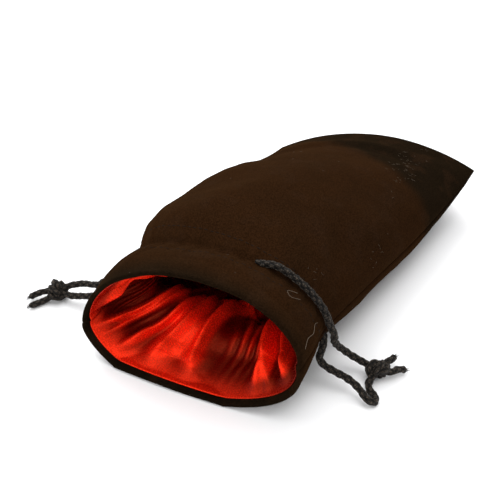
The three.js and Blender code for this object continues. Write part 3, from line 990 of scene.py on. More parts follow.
    def build_casing(self) -> None:
        """Makes the stretches of cord inside the casing and the one that lies in the crease."""
        rise = 4.4
        start = self.side_angle(self.left_y, False, -rise)
        stop = TURN + self.side_angle(self.left_y, False, rise)
        left = [skin_point(self.left_y, a, CORD_DEPTH) for a in np.linspace(start, stop, 60)]
        stop = self.side_angle(self.right_y, True, -rise)
        start = self.hole_angle + 0.19
        right = [skin_point(self.right_y, a, CORD_DEPTH) for a in np.linspace(start, stop, 50)]
        hole = self.hole_angle
        crease = [
            skin_point(self.right_y, hole + 0.17, CORD_DEPTH),
            skin_point(self.right_y, hole + 0.09, CORD_DEPTH - 1.1),
            skin_point(self.right_y, hole, 1.0),
            skin_point(self.right_y, hole - 0.1, self.outside + 0.7),
            *[skin_point(self.right_y, a, self.outside) for a in np.linspace(hole - 0.2, 0.17, 10)],
        ]
        hidden = {"radius": self.hidden_radius, "sides": self.hidden_sides, "step": self.hidden_step}
        left_nodes = ("left_cord_run_lip", "left_cord_run_upper", "left_cord_run_lower")
        right_nodes = ("right_cord_run_lip", "right_cord_run_lower")
        crease_nodes = ("right_cord_crease_lip", "right_cord_crease_side")
        for name, points, nodes, sizes in (
            ("left_cord_in_casing", left, left_nodes, hidden),
            ("right_cord_in_casing", right, right_nodes, hidden),
            ("right_cord_in_crease", crease, crease_nodes, {}),
        ):
            cord = BraidedCord(name, points, **sizes)
            piece = cord.build(self.material, seed=60)
            across_mouth(piece)
            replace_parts(piece, *nodes)
            LOG.info("%s: %.1f mm", name, cord.length / MM)


def across_mouth(piece: bpy.types.Object) -> None:
    """Bakes the piece's placement into its mesh."""
    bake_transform(piece)


class Sockets:
    """Adds nodes and links to a tree with few words."""

    def __init__(self, tree: bpy.types.NodeTree) -> None:
        """Keeps the tree."""
        self.tree = tree

    def node(self, kind: str, inputs: dict | None = None, **settings: object) -> bpy.types.Node:
        """Adds a node.

        Args:
            kind: the node's type.
            inputs: socket name or number to a value or to another node's output.
            settings: the node's own properties.

        Returns:
            The node.
        """
        made = self.tree.nodes.new(kind)
        for key, value in settings.items():
            setattr(made, key, value)
        for key, value in (inputs or {}).items():
            if isinstance(value, bpy.types.NodeSocket):
                self.tree.links.new(value, made.inputs[key])
            else:
                made.inputs[key].default_value = value
        return made

    def math(self, operation: str, *values: object) -> bpy.types.NodeSocket:
        """Adds a Math node and gives its output."""
        return self.node("ShaderNodeMath", dict(enumerate(values)), operation=operation).outputs[0]

    def span(self, value: object, low: float, high: float, to_low: float = 0, to_high: float = 1) -> object:
        """Maps a value smoothly from one span to another.

        Args:
            value: the socket or number to map.
            low: the start of the span it's in.
            high: the end of that span.
            to_low: what low becomes.
            to_high: what high becomes.

        Returns:
            The mapped output.
        """
        inputs = {"Value": value, "From Min": low, "From Max": high, "To Min": to_low, "To Max": to_high}
        made = self.node("ShaderNodeMapRange", inputs, interpolation_type="SMOOTHSTEP")
        return made.outputs[0]

    def mix(self, factor: object, one: object, two: object) -> bpy.types.NodeSocket:
        """Mixes two colours and gives the output."""
        made = self.node("ShaderNodeMix", {0: factor, 6: one, 7: two}, data_type="RGBA")
        return made.outputs[2]


def new_group(name: str, inputs: dict[str, tuple[str, float]], outputs: dict[str, str]) -> tuple:
    """Starts a shader node group with named sockets.

    Args:
        name: the group's name.
        inputs: socket name to its kind and its value.
        outputs: socket name to its kind.

    Returns:
        The group, its helper, its input node and its output node.
    """
    group = bpy.data.node_groups.new(name, "ShaderNodeTree")
    for label, (kind, value) in inputs.items():
        socket = group.interface.new_socket(label, in_out="INPUT", socket_type=f"NodeSocket{kind}")
        if kind == "Float":
            socket.default_value = value
    for label, kind in outputs.items():
        group.interface.new_socket(label, in_out="OUTPUT", socket_type=f"NodeSocket{kind}")
    tools = Sockets(group)
    return group, tools, tools.node("NodeGroupInput"), tools.node("NodeGroupOutput")


def mottle_group() -> bpy.types.NodeTree:
    """Cloudy variation at two sizes, as a mask, and a fine grain."""
    inputs = {"Size": ("Float", 0.02), "Grain Size": ("Float", 0.0006), "Contrast": ("Float", 1.0)}
    group, tools, given, out = new_group("Mottle", inputs, {"Mask": "Float", "Grain": "Float"})
    place = tools.node("ShaderNodeTexCoord").outputs["Object"]
    wide = tools.math("DIVIDE", 1.0, given.outputs["Size"])
    cloud = tools.node(
        "ShaderNodeTexNoise", {"Vector": place, "Scale": wide, "Detail": 4.0, "Roughness": 0.6}
    )
    low = tools.math("SUBTRACT", 0.5, tools.math("MULTIPLY", given.outputs["Contrast"], 0.18))
    high = tools.math("ADD", 0.5, tools.math("MULTIPLY", given.outputs["Contrast"], 0.18))
    mask = tools.node("ShaderNodeMapRange", {"Value": cloud.outputs[0], "From Min": low, "From Max": high})
    fine = tools.math("DIVIDE", 1.0, given.outputs["Grain Size"])
    grain = tools.node("ShaderNodeTexNoise", {"Vector": place, "Scale": fine, "Detail": 2.0})
    tools.tree.links.new(mask.outputs[0], out.inputs["Mask"])
    tools.tree.links.new(grain.outputs[0], out.inputs["Grain"])
    return group


def threads_group() -> bpy.types.NodeTree:
    """Parallel threads along the surface's own map, as a height and a slow streak."""
    inputs = {"Across": ("Float", 300.0), "Along": ("Float", 300.0), "Streak": ("Float", 1.0)}
    group, tools, given, out = new_group("Threads", inputs, {"Height": "Float", "Streak": "Float"})
    place = tools.node("ShaderNodeUVMap", uv_map="surface").outputs[0]
    split = tools.node("ShaderNodeSeparateXYZ", {0: place})
    warp = tools.math("SINE", tools.math("MULTIPLY", split.outputs[0], given.outputs["Across"]))
    weft = tools.math("SINE", tools.math("MULTIPLY", split.outputs[1], given.outputs["Along"]))
    height = tools.math("ADD", tools.math("MULTIPLY", warp, 0.5), tools.math("MULTIPLY", weft, 0.5))
    long_x = tools.math("MULTIPLY", split.outputs[0], 26.0)
    drawn = tools.node("ShaderNodeCombineXYZ", {0: long_x, 1: tools.math("MULTIPLY", split.outputs[1], 3.0)})
    noise_node = tools.node("ShaderNodeTexNoise", {"Vector": drawn.outputs[0], "Scale": 2.0, "Detail": 3.0})
    streak = tools.math("MULTIPLY", noise_node.outputs[0], given.outputs["Streak"])
    tools.tree.links.new(height, out.inputs["Height"])
    tools.tree.links.new(streak, out.inputs["Streak"])
    return group


class Groups:
    """The node groups that the materials share."""

    def __init__(self) -> None:
        """Builds each group once."""
        self.mottle = mottle_group()
        self.threads = threads_group()


def new_material(name: str) -> tuple[bpy.types.Material, Sockets, bpy.types.Node]:
    """Starts a material.

    Args:
        name: the material's name.

    Returns:
        The material, its helper and its shader.
    """
    material = bpy.data.materials.new(name)
    material.use_nodes = True
    shader = material.node_tree.nodes["Principled BSDF"]
    return material, Sockets(material.node_tree), shader


def place_group(tools: Sockets, group: bpy.types.NodeTree, values: dict) -> bpy.types.Node:
    """Puts a node group in a material with its own values.

    Args:
        tools: the material's helper.
        group: the node group.
        values: input name to value.

    Returns:
        The group's node.
    """
    made = tools.node("ShaderNodeGroup", node_tree=group)
    for key, value in values.items():
        made.inputs[key].default_value = value
    return made


def colour(red: float, green: float, blue: float) -> tuple[float, float, float, float]:
    """A linear colour with full alpha."""
    return (red, green, blue, 1.0)


@dataclass(frozen=True)
class VelvetFinish:
    """Black short-pile velvet with a painted warm brownish sheen on the belly, standing in for light off the
    pile.
    """

    name: str = "velvet_finish"
    painted_sheen_brown: tuple = (0.0172, 0.0070, 0.0026)
    black: tuple = (0.0062, 0.0040, 0.0022)
    worn: tuple = (0.0190, 0.0090, 0.0045)
    sheen: float = 0.03
    sheen_tint: tuple = (0.75, 0.42, 0.20)
    painted_sheen_from: float = -0.083
    painted_sheen_to: float = 0.060
    slant: float = 0.55

    def build(self, groups: Groups) -> bpy.types.Material:
        """Makes the material and gives it."""
        material, tools, shader = new_material(self.name)
        cloud = place_group(tools, groups.mottle, {"Size": 0.030, "Grain Size": 0.00055})
        smudge = place_group(tools, groups.mottle, {"Size": 0.011, "Grain Size": 0.0013, "Contrast": 0.8})
        place = tools.node("ShaderNodeTexCoord").outputs["Object"]
        split = tools.node("ShaderNodeSeparateXYZ", {0: place})
        along = split.outputs[1]
        # Painted sheen: a brownish band over the belly, with a slanted edge towards the tail, stands in for
        # light off the pile.
        front = tools.span(along, self.painted_sheen_from - 0.008, self.painted_sheen_from + 0.008)
        slant = tools.math("ADD", along, tools.math("MULTIPLY", split.outputs[0], self.slant))
        back = tools.span(slant, self.painted_sheen_to - 0.005, self.painted_sheen_to + 0.007, 1.0, 0.0)
        body = tools.math("MULTIPLY", front, back)
        painted_sheen_patch = tools.math("MULTIPLY", body, tools.span(cloud.outputs["Mask"], -0.6, 0.9, 0.6, 1.0))
        base = tools.mix(painted_sheen_patch, colour(*self.black), colour(*self.painted_sheen_brown))
        rubbed = tools.math("MULTIPLY", tools.span(smudge.outputs["Mask"], 0.5, 1.0), 0.35)
        base = tools.mix(rubbed, base, colour(*self.worn))
        pile = tools.span(cloud.outputs["Grain"], 0.3, 0.7, 0.65, 1.3)
        shaded = tools.node("ShaderNodeVectorMath", {0: base, "Scale": pile}, operation="SCALE")
        tools.tree.links.new(shaded.outputs[0], shader.inputs["Base Color"])
        coarse = tools.math("MULTIPLY", smudge.outputs["Grain"], 0.6)
        height = tools.math("ADD", cloud.outputs["Grain"], coarse)
        bump = tools.node("ShaderNodeBump", {"Height": height, "Strength": 0.35, "Distance": 0.0005})
        tools.tree.links.new(bump.outputs[0], shader.inputs["Normal"])
        shader.inputs["Roughness"].default_value = 0.95
        shader.inputs["Specular IOR Level"].default_value = 0.0
        shader.inputs["Sheen Weight"].default_value = self.sheen
        shader.inputs["Sheen Roughness"].default_value = 0.42
        shader.inputs["Sheen Tint"].default_value = colour(*self.sheen_tint)
        return material


@dataclass(frozen=True)
class SatinFinish:
    """Bright red satin with a fine weave, soft streaks, and painted shade in the pleat valleys and down the
    throat.
    """

    name: str = "satin_finish"
    # The dark red is painted shade for the pleat valleys and the throat, and also tints the streaks.
    bright: tuple = (0.95, 0.0220, 0.0050)
    shade_and_streak_red: tuple = (0.10, 0.0009, 0.0002)
    roughness: float = 0.24
    metal: float = 0.50

    def build(self, groups: Groups) -> bpy.types.Material:
        """Makes the material and gives it."""
        material, tools, shader = new_material(self.name)
        weave = place_group(tools, groups.threads, {"Across": 1500.0, "Along": 2300.0, "Streak": 1.0})
        cloud = place_group(tools, groups.mottle, {"Size": 0.016, "Grain Size": 0.0007})
        streak = tools.math("MULTIPLY", tools.span(weave.outputs["Streak"], 0.35, 0.65), 0.25)
        ridge = tools.node("ShaderNodeAttribute", attribute_name="ridge").outputs["Fac"]
        along = tools.node("ShaderNodeSeparateXYZ", {0: tools.node("ShaderNodeTexCoord").outputs["Object"]})
        # Painted shade: the red darkens down the throat and in the low places between the pleats, where shade
        # falls.
        throat_shade = tools.span(along.outputs[1], -0.097, -0.080)
        valley_shade = tools.math("MULTIPLY", tools.span(ridge, 0.14, 0.66, 1.0, 0.0), throat_shade)
        base = tools.mix(tools.math("MAXIMUM", valley_shade, streak), colour(*self.bright), colour(*self.shade_and_streak_red))
        tools.tree.links.new(base, shader.inputs["Base Color"])
        spark = tools.span(cloud.outputs["Grain"], 0.42, 0.62, -0.10, 0.12)
        slow = tools.span(weave.outputs["Streak"], 0.3, 0.7, -0.04, 0.06)
        rough = tools.math("ADD", tools.math("ADD", spark, slow), self.roughness)
        tools.tree.links.new(rough, shader.inputs["Roughness"])
        threads = tools.math("MULTIPLY", weave.outputs["Height"], 0.25)
        height = tools.math("ADD", threads, cloud.outputs["Grain"])
        bump = tools.node("ShaderNodeBump", {"Height": height, "Strength": 0.30, "Distance": 0.00035})
        tools.tree.links.new(bump.outputs[0], shader.inputs["Normal"])
        shader.inputs["Metallic"].default_value = self.metal
        shader.inputs["Anisotropic"].default_value = 0.35
        shader.inputs["Specular IOR Level"].default_value = 0.6
        shader.inputs["Specular Tint"].default_value = colour(1.0, 0.30, 0.12)
        shader.inputs["Sheen Weight"].default_value = 0.04
        shader.inputs["Sheen Tint"].default_value = colour(1.0, 0.12, 0.05)
        return material


@dataclass(frozen=True)
class BraidFinish:
    """Charcoal braided cord with painted shade in the hollows between its yarns, so the crowns read lighter.
    """

    name: str
    # The dark second colour is painted shade for the hollows between the yarns.
    crown: tuple = (0.105, 0.082, 0.062)
    valley_shade: tuple = (0.0012, 0.0009, 0.0007)
    across: float = 88.0
    along: float = 60.0

    def build(self, groups: Groups) -> bpy.types.Material:
        """Makes the material and gives it."""
        material, tools, shader = new_material(self.name)
        yarn = place_group(tools, groups.threads, {"Across": self.across, "Along": self.along, "Streak": 1.0})
        cloud = place_group(tools, groups.mottle, {"Size": 0.004, "Grain Size": 0.00035})
        grain = tools.span(cloud.outputs["Grain"], 0.30, 0.70)
        # Painted shade: away from the yarn crowns and between the fibres the colour goes nearly black, where
        # shade falls.
        crown = tools.node("ShaderNodeAttribute", attribute_name="yarn").outputs["Fac"]
        strands = tools.span(yarn.outputs["Height"], -0.6, 0.8, 0.25, 1.0)
        light = tools.math("MULTIPLY", tools.span(crown, 0.55, 1.0), tools.math("MULTIPLY", grain, strands))
        base = tools.mix(light, colour(*self.valley_shade), colour(*self.crown))
        tools.tree.links.new(base, shader.inputs["Base Color"])
        fibres = tools.math("MULTIPLY", yarn.outputs["Height"], 0.6)
        height = tools.math("ADD", fibres, cloud.outputs["Grain"])
        bump = tools.node("ShaderNodeBump", {"Height": height, "Strength": 0.6, "Distance": 0.0004})
        tools.tree.links.new(bump.outputs[0], shader.inputs["Normal"])
        shader.inputs["Roughness"].default_value = 0.6
        shader.inputs["Specular IOR Level"].default_value = 0.10
        shader.inputs["Sheen Weight"].default_value = 0.06
        shader.inputs["Sheen Roughness"].default_value = 0.5
        shader.inputs["Sheen Tint"].default_value = colour(0.8, 0.72, 0.65)
        return material


@dataclass(frozen=True)
class FibreFinish:
    """Thread, pile and lint: small fibres of one colour family."""

    name: str
    light: tuple
    dark: tuple
    sheen: float = 0.0
    shine: float = 0.05

    def build(self, groups: Groups) -> bpy.types.Material:
        """Makes the material and gives it."""
        material, tools, shader = new_material(self.name)
        cloud = place_group(tools, groups.mottle, {"Size": 0.005, "Grain Size": 0.0004})
        base = tools.mix(cloud.outputs["Grain"], colour(*self.dark), colour(*self.light))
        tools.tree.links.new(base, shader.inputs["Base Color"])
        grain = cloud.outputs["Grain"]
        bump = tools.node("ShaderNodeBump", {"Height": grain, "Strength": 0.4, "Distance": 0.0002})
        tools.tree.links.new(bump.outputs[0], shader.inputs["Normal"])
        shader.inputs["Roughness"].default_value = 0.8
        shader.inputs["Specular IOR Level"].default_value = self.shine
        shader.inputs["Sheen Weight"].default_value = self.sheen
        return material


@dataclass(frozen=True)
class FloorFinish:
    """Plain white studio floor."""

    name: str = "floor_finish"

    def build(self) -> bpy.types.Material:
        """Makes the material and gives it."""
        material, tools, shader = new_material(self.name)
        place = tools.node("ShaderNodeTexCoord").outputs["Object"]
        soft = tools.node("ShaderNodeTexNoise", {"Vector": place, "Scale": 3.0, "Detail": 1.0})
        base = tools.mix(soft.outputs[0], colour(0.93, 0.93, 0.94), colour(0.95, 0.95, 0.955))
        tools.tree.links.new(base, shader.inputs["Base Color"])
        shader.inputs["Roughness"].default_value = 0.9
        shader.inputs["Specular IOR Level"].default_value = 0.1
        return material


def geometry_tree(name: str, inputs: dict[str, tuple[str, object]]) -> tuple[Sockets, bpy.types.Node]:
    """Starts a geometry node tree with named inputs.

    Args:
        name: the tree's name.
        inputs: socket name to its kind and its value.

    Returns:
        The tree's helper and its input node.
    """
    tree = bpy.data.node_groups.new(name, "GeometryNodeTree")
    tree.interface.new_socket("Geometry", in_out="INPUT", socket_type="NodeSocketGeometry")
    tree.interface.new_socket("Geometry", in_out="OUTPUT", socket_type="NodeSocketGeometry")
    for label, (kind, value) in inputs.items():
        socket = tree.interface.new_socket(label, in_out="INPUT", socket_type=f"NodeSocket{kind}")
        if value is not None:
            socket.default_value = value
    tools = Sockets(tree)
    return tools, tools.node("NodeGroupInput")


def end_tree(tools: Sockets, instances: bpy.types.NodeSocket, material: bpy.types.NodeSocket) -> None:
    """Ends a tree in Realize Instances and Set Material.

    Args:
        tools: the tree's helper.
        instances: the instances to make real.
        material: the finish to give them.
    """
    real = tools.node("GeometryNodeRealizeInstances", {0: instances})
    dressed = tools.node("GeometryNodeSetMaterial", {"Geometry": real.outputs[0], "Material": material})
    tools.node("NodeGroupOutput", {0: dressed.outputs[0]})


def stand_at(tools: Sockets, *nodes: bpy.types.Node) -> None:
    """Places a shape on points and ends the tree.

    Args:
        tools: the tree's helper.
        nodes: the nodes that give the points, shape, rotation and scale, then the tree's input node.
    """
    *parts, given = nodes
    inputs = dict(zip(("Points", "Instance", "Rotation", "Scale"), (part.outputs[0] for part in parts)))
    made = tools.node("GeometryNodeInstanceOnPoints", inputs)
    end_tree(tools, made.outputs[0], given.outputs["Material"])


def stitch_tree() -> bpy.types.NodeTree:
    """Stitches of one length, laid end to end along a line."""
    inputs = {
        "Pitch": ("Float", 0.003), "Stitch Length": ("Float", 0.0022),
        "Thickness": ("Float", 0.0005), "Material": ("Material", None),
    }
    tools, given = geometry_tree("Stitches", inputs)
    curve = tools.node("GeometryNodeMeshToCurve", {0: given.outputs["Geometry"]})
    even = tools.node("GeometryNodeResampleCurve", {"Curve": curve.outputs[0]})
    even.mode = "LENGTH"
    tools.tree.links.new(given.outputs["Pitch"], even.inputs["Length"])
    tangent = tools.node("GeometryNodeInputTangent")
    turn = tools.node("FunctionNodeAlignRotationToVector", {"Vector": tangent.outputs[0]}, axis="Z")
    bead = tools.node("GeometryNodeMeshUVSphere", {"Segments": 8, "Rings": 6, "Radius": 0.5})
    size = tools.node(
        "ShaderNodeCombineXYZ",
        {0: given.outputs["Thickness"], 1: given.outputs["Thickness"], 2: given.outputs["Stitch Length"]},
    )
    stand_at(tools, even, bead, turn, size, given)
    return tools.tree


def fibre_tree() -> bpy.types.NodeTree:
    """Short tapered fibres standing on a surface at random."""
    inputs = {
        "Density": ("Float", 1e6), "Fibre Length": ("Float", 0.001), "Thickness": ("Float", 0.00008),
        "Lean": ("Float", 0.5), "Seed": ("Int", 1), "Material": ("Material", None),
    }
    tools, given = geometry_tree("Fibres", inputs)
    socket = given.outputs
    spots = tools.node(
        "GeometryNodeDistributePointsOnFaces",
        {"Mesh": socket["Geometry"], "Density": socket["Density"], "Seed": socket["Seed"]},
    )
    hair = tools.node(
        "GeometryNodeMeshCone",
        {"Vertices": 3, "Side Segments": 1, "Radius Top": 0.1, "Radius Bottom": 0.5, "Depth": 1.0},
    )
    lean = tools.node("FunctionNodeRandomValue", {"Seed": socket["Seed"]}, data_type="FLOAT_VECTOR")
    lean.inputs[0].default_value = (-1, -1, -1)
    leaning = {0: lean.outputs[0], "Scale": socket["Lean"]}
    spread = tools.node("ShaderNodeVectorMath", leaning, operation="SCALE")
    both = {0: spots.outputs["Normal"], 1: spread.outputs[0]}
    way = tools.node("ShaderNodeVectorMath", both, operation="ADD")
    turn = tools.node("FunctionNodeAlignRotationToVector", {"Vector": way.outputs[0]}, axis="Z")
    uneven = {2: 0.45, 3: 1.3, "Seed": socket["Seed"]}
    vary = tools.node("FunctionNodeRandomValue", uneven, data_type="FLOAT")
    tall = tools.math("MULTIPLY", socket["Fibre Length"], vary.outputs[1])
    size = tools.node("ShaderNodeCombineXYZ", {0: socket["Thickness"], 1: socket["Thickness"], 2: tall})
    stand_at(tools, spots, hair, turn, size, given)
    return tools.tree


def grow(source: bpy.types.Object, tree: bpy.types.NodeTree, name: str, values: dict) -> bpy.types.Object:
    """Runs a geometry tree on a source and keeps the result as a plain mesh.

    Args:
        source: the line or surface, which is removed.
        tree: the geometry node tree.
        name: the new piece's name.
        values: the tree's named inputs.

    Returns:
        The new piece.
    """
    work = source.modifiers.new("grow", "NODES")
    work.node_group = tree
    for item in tree.interface.items_tree:
        if item.in_out == "INPUT" and item.name in values:
            work[item.identifier] = values[item.name]
    bpy.context.view_layer.update()
    graph = bpy.context.evaluated_depsgraph_get()
    mesh = bpy.data.meshes.new_from_object(source.evaluated_get(graph))
    source.modifiers.remove(work)
    bpy.data.objects.remove(source)
    mesh.name = name
    piece = bpy.data.objects.new(name, mesh)
    bpy.context.scene.collection.objects.link(piece)
    return piece


def line_object(name: str, points: list) -> bpy.types.Object:
    """A bare line of edges, for a geometry tree to follow.

    Args:
        name: the line's name.
        points: its points in millimetres.

    Returns:
        The line.
    """
    mesh = bpy.data.meshes.new(name)
    mesh.from_pydata((np.array(points) * MM).tolist(), [(i, i + 1) for i in range(len(points) - 1)], [])
    piece = bpy.data.objects.new(name, mesh)
    bpy.context.scene.collection.objects.link(piece)
    return piece


def surface_object(name: str, grid: Array, material: bpy.types.Material) -> bpy.types.Object:
    """A bare grid surface, for a geometry tree to grow on.

    Args:
        name: the surface's name.
        grid: rows of points in millimetres.
        material: its finish.

    Returns:
        The surface.
    """
    rows, wide = grid.shape[:2]
    faces = [
        (i * wide + j, i * wide + j + 1, (i + 1) * wide + j + 1, (i + 1) * wide + j)
        for i in range(rows - 1)
        for j in range(wide - 1)
    ]
    return add_object(name, grid, faces, material)


class Trims:
    """Casing stitches, raised pile along the edges, frayed tails, lint and loose threads."""

    def __init__(self, velvet: Velvet, thread: bpy.types.Material, pile: bpy.types.Material,
                 lint: bpy.types.Material, braid: bpy.types.Material) -> None:
        """Takes the velvet that the trims lie on and their finishes."""
        self.velvet = velvet
        self.thread, self.pile, self.lint, self.braid = thread, pile, lint, braid
        self.stitches, self.fibres = stitch_tree(), fibre_tree()

    def build_stitching(self) -> None:
        """Makes the two rows of casing stitches all round the mouth."""
        for row, y in (("front", CREASE_Y - CASING / 2), ("rear", CREASE_Y + CASING / 2)):
            name = f"casing_stitching_{row}"
            points = [self.velvet.outside(y, a, -0.02) for a in np.linspace(0, TURN, 420)]
            values = {
                "Pitch": 0.0026, "Stitch Length": 0.0020, "Thickness": 0.00034, "Material": self.thread,
            }
            piece = grow(line_object(name, points), self.stitches, f"{name}_thread", values)
            across_mouth(piece)
            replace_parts(piece, name, f"{name}_lip")
            LOG.info("%s: %d faces", name, len(piece.data.polygons))

    def fuzz(self, name: str, grid: Array, body: str | None, values: dict) -> None:
        """Raises fibres on a strip of surface.

        Args:
            name: the new piece's name.
            grid: the strip's points in millimetres.
            body: the body it rides on, or None to bake its placement into its mesh instead.
            values: the fibres' named inputs.
        """
        source = surface_object(f"{name}_bed", grid, values["Material"])
        piece = grow(source, self.fibres, name, values)
        if body:
            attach(piece, body)
        else:
            across_mouth(piece)
        LOG.info("%s: %d faces", name, len(piece.data.polygons))

    def build_pile(self) -> None:
        """Makes the raised pile along the bottom seam and round the rolled mouth."""
        ends = np.linspace(0, TURN, 260)
        tail = np.array([[self.velvet.outside(y, a, -0.15) for a in ends] for y in (TAIL_Y - 2.5, TAIL_Y)])
        values = {
            "Density": 5.0e6, "Fibre Length": 0.0013, "Thickness": 0.00010, "Lean": 0.8, "Seed": 4,
            "Material": self.pile,
        }
        self.fuzz("tail_pile", tail, "bag", values)
        mouth = np.array([[self.velvet.outside(y, a, -0.1) for a in ends] for y in (MOUTH_Y, MOUTH_Y + 2.5)])
        self.fuzz("mouth_pile", mouth, None, {**values, "Density": 3.0e6, "Fibre Length": 0.0009, "Seed": 5})
        for number, degrees in enumerate((0, 180)):
            angles = np.radians([degrees - 1.2, degrees, degrees + 1.2])
            stops = np.linspace(MOUTH_Y + 4, TAIL_Y, 120)
            seam = np.array([[self.velvet.outside(y, a, -0.1) for a in angles] for y in stops])
            given = {**values, "Density": 2.5e6, "Fibre Length": 0.0009, "Seed": 6 + number}
            self.fuzz(f"side_pile_{number}", seam, "bag", given)

    def build_frays(self, cords: Drawcords) -> None:
        """Makes the frayed ends of the four tails."""
        routes = cords.routes()
        for number, side in enumerate(("left", "right")):
            for place in ("front", "back"):
                tip, before = (np.array(routes[f"{side}_tail_{place}"][k]) for k in (-1, -2))
                way = (tip - before) / np.linalg.norm(tip - before)
                one = np.cross(way, [0, 0, 1.0])
                one = one / np.linalg.norm(one)
                two = np.cross(one, way)
                rings = [[tip - way * 0.3 + (one * math.cos(a) + two * math.sin(a)) * r
                          for a in np.linspace(0, TURN, 13)] for r in (0.1, 0.7)]
                values = {
                    "Density": 3.0e7, "Fibre Length": 0.0022, "Thickness": 0.00014, "Lean": 0.35,
                    "Seed": 11 + number, "Material": self.braid,
                }
                self.fuzz(f"{side}_{place}_fray", np.array(rings), f"{side}_drawcord", values)

    def stray(self, name: str, points: list, radius: float, material: bpy.types.Material) -> bpy.types.Object:
        """Makes one thin loose thread.

        Args:
            name: its name.
            points: the points it passes, in millimetres.
            radius: its radius, in millimetres.
            material: its finish.

        Returns:
            The thread.
        """
        line = smooth_path(points, 0.4)
        one, two = frames(line)
        angles = np.linspace(0, TURN, 6, endpoint=False)
        ring = np.cos(angles)[None, :, None] * one[:, None] + np.sin(angles)[None, :, None] * two[:, None]
        taper = np.ones(len(line))
        taper[[0, -1]] = 0.2
        grid = line[:, None] + ring * (radius * taper)[:, None, None]
        rows, wide = grid.shape[:2]
        faces = []
        for i in range(rows - 1):
            for j in range(wide):
                k, n = i * wide + j, i * wide + (j + 1) % wide
                faces.append((k, n, n + wide, k + wide))
        faces += [tuple(range(wide))[::-1], tuple((rows - 1) * wide + j for j in range(wide))]
        piece = add_object(name, grid, faces, material)
        face_out(piece)
        return piece

    def on_cloth(self, spots: list, lift: float = 0.25) -> list:
        """Points on the outer cloth from (angle in degrees, y) spots."""
        return [self.velvet.outside(y, math.radians(angle), lift) for angle, y in spots]

    def build_strays(self) -> None:
        """Makes lint on the velvet and the loose threads by the mouth."""
        random = np.random.default_rng(12)
        bits = []
        for centre, spread, count in (((57, 57), (5, 12), 34), ((48, 40), (5, 9), 16), ((17, -15), (4, 3), 7),
                                      ((38, -50), (3, 2), 5), ((80, 10), (40, 40), 16)):
            for _ in range(count):
                angle = centre[0] + random.normal() * spread[0]
                y = min(centre[1] + random.normal() * spread[1], TAIL_Y - 6)
                turn, long = random.uniform(0, math.pi), random.uniform(0.6, 2.2)
                step = (math.cos(turn) * long / REACH * 57.3, math.sin(turn) * long)
                bend = random.uniform(-0.5, 0.5)
                middle = (angle + step[0] / 2 + bend, y + step[1] / 2 + bend)
                spots = [(angle, y), middle, (angle + step[0], y + step[1])]
                bits.append(self.stray("lint", self.on_cloth(spots, 0.10), 0.032, self.lint))
        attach(join("lint_on_velvet", bits), "bag")
        spots = [(16, -66), (17, -69), (14, -74), (15, -79), (12, -84)]
        loose = self.stray("loose_thread", self.on_cloth(spots, 0.3), 0.08, self.lint)
        across_mouth(loose)
        spots = [(37, -68), (42, -72), (46, -69), (41, -66)]
        hair = self.stray("loose_hair", self.on_cloth(spots, 0.9), 0.07, self.lint)
        across_mouth(hair)


@dataclass(frozen=True)
class Lamp:
    """One soft area light, aimed at a point, in metres."""

    name: str
    place: tuple[float, float, float]
    aim: tuple[float, float, float]
    power: float
    width: float
    tint: tuple[float, float, float] = (1.0, 1.0, 1.0)

    def build(self) -> None:
        """Adds the light."""
        light = bpy.data.lights.new(self.name, "AREA")
        light.energy, light.size, light.color = self.power, self.width, self.tint
        lamp = bpy.data.objects.new(self.name, light)
        lamp.location = self.place
        lamp.rotation_euler = (Vector(self.place) - Vector(self.aim)).to_track_quat("Z", "Y").to_euler()
        bpy.context.scene.collection.objects.link(lamp)


@dataclass
class Studio:
    """White floor, soft light and the camera."""

    place: tuple[float, float, float] = (0.1191, -0.2560, 0.2259)
    azimuth: float = 28.81
    elevation: float = 37.69
    lens: float = 54.0
    world: float = 0.62
    lamps: tuple[Lamp, ...] = (
        Lamp("back_left_softbox", (-0.35, 0.30, 0.65), (0, -0.02, 0.02), 5.2, 0.50),
        Lamp("front_fill", (-0.10, -0.70, 0.45), (0, -0.06, 0.02), 1.6, 0.35),
        Lamp("top_softbox", (0.15, -0.10, 0.85), (0, 0, 0), 4.0, 0.60),
    )

    def build_camera(self) -> None:
        """Adds the camera."""
        a, e = math.radians(self.azimuth), math.radians(self.elevation)
        back = Vector((math.sin(a) * math.cos(e), -math.cos(a) * math.cos(e), math.sin(e)))
        right = Vector((math.cos(a), math.sin(a), 0))
        turn = Matrix((right, back.cross(right), back)).transposed().to_4x4()
        data = bpy.data.cameras.new("camera")
        data.lens, data.sensor_width = self.lens, 36.0
        camera = bpy.data.objects.new("camera", data)
        camera.matrix_world = Matrix.Translation(self.place) @ turn
        bpy.context.scene.collection.objects.link(camera)
        bpy.context.scene.camera = camera

    def build_light(self) -> None:
        """Adds the floor, the world and the lamps."""
        size, level = 1500.0, -0.2
        corners = [(x * size, y * size, level) for x, y in ((-1, -1), (1, -1), (1, 1), (-1, 1))]
        floor = add_object("floor", np.array(corners), [(0, 1, 2, 3)], FloorFinish().build())
        world = bpy.data.worlds.new("studio")
        world.use_nodes = True
        world.node_tree.nodes["Background"].inputs["Color"].default_value = (1, 1, 1, 1)
        world.node_tree.nodes["Background"].inputs["Strength"].default_value = self.world
        bpy.context.scene.world = world
        for lamp in self.lamps:
            lamp.build()
        bpy.context.scene.view_settings.view_transform = "Standard"


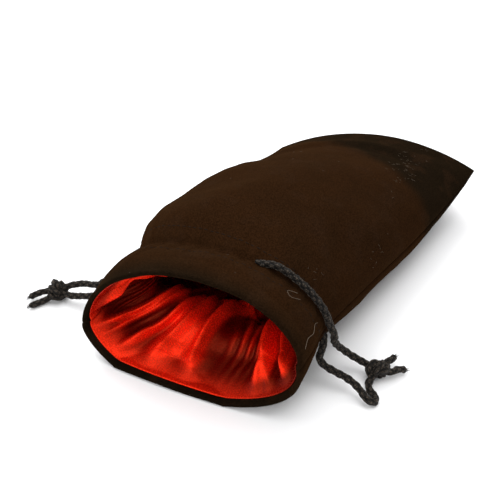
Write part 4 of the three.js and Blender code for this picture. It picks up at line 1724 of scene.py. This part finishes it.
def carried_over(velvet: bpy.types.Material, satin: bpy.types.Material) -> None:
    """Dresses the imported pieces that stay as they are.

    Args:
        velvet: the finish of the outer seams.
        satin: the finish of the lining's seam.
    """
    for name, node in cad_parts.items():
        if not node.hide_render:
            node.data.materials.clear()
            node.data.materials.append(satin if name.startswith("lining") else velvet)
            LOG.info("%s stays with a new finish", name)


def main() -> None:
    """Builds the bag and its studio."""
    logging.basicConfig(level=logging.INFO, format="%(name)s: %(message)s")
    studio = Studio()
    studio.build_camera()
    groups = Groups()
    braid = BraidFinish("braid_finish").build(groups)
    cords = Drawcords(braid)
    cords.build_strands()
    cords.build_casing()

    velvet_finish = VelvetFinish().build(groups)
    velvet = Velvet(velvet_finish)
    panels = velvet.build()
    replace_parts(panels[Side.UPPER], "velvet_upper_panel", "velvet_upper_lip")
    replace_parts(panels[Side.UNDER], "velvet_lower_panel")
    across_mouth(panels[Side.UPPER])
    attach(panels[Side.UNDER], "bag")
    satin_finish = SatinFinish().build(groups)
    linings = SatinLining(satin_finish).build()
    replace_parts(linings[Side.UPPER], "satin_upper_panel", "satin_upper_lip")
    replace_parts(linings[Side.UNDER], "satin_lower_panel")
    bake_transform(linings[Side.UPPER])
    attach(linings[Side.UNDER], "bag")
    for pieces, slot, flat in ((panels, "velvet", (0.127, 0.183)), (linings, "satin", (0.122, 0.168))):
        for piece in pieces.values():
            LOG.info("%s: %d faces", piece.name, len(piece.data.polygons))

    thread = FibreFinish("thread_finish", (0.016, 0.010, 0.007), (0.006, 0.004, 0.003)).build(groups)
    pile = FibreFinish("pile_finish", (0.026, 0.017, 0.011), (0.006, 0.004, 0.003), 0.05).build(groups)
    lint = FibreFinish("lint_finish", (0.20, 0.16, 0.12), (0.05, 0.035, 0.025)).build(groups)
    trims = Trims(velvet, thread, pile, lint, braid)
    trims.build_stitching()
    trims.build_pile()
    trims.build_frays(cords)
    trims.build_strays()
    carried_over(velvet_finish, satin_finish)
    studio.build_light()


if __name__ == "__main__":
    main()
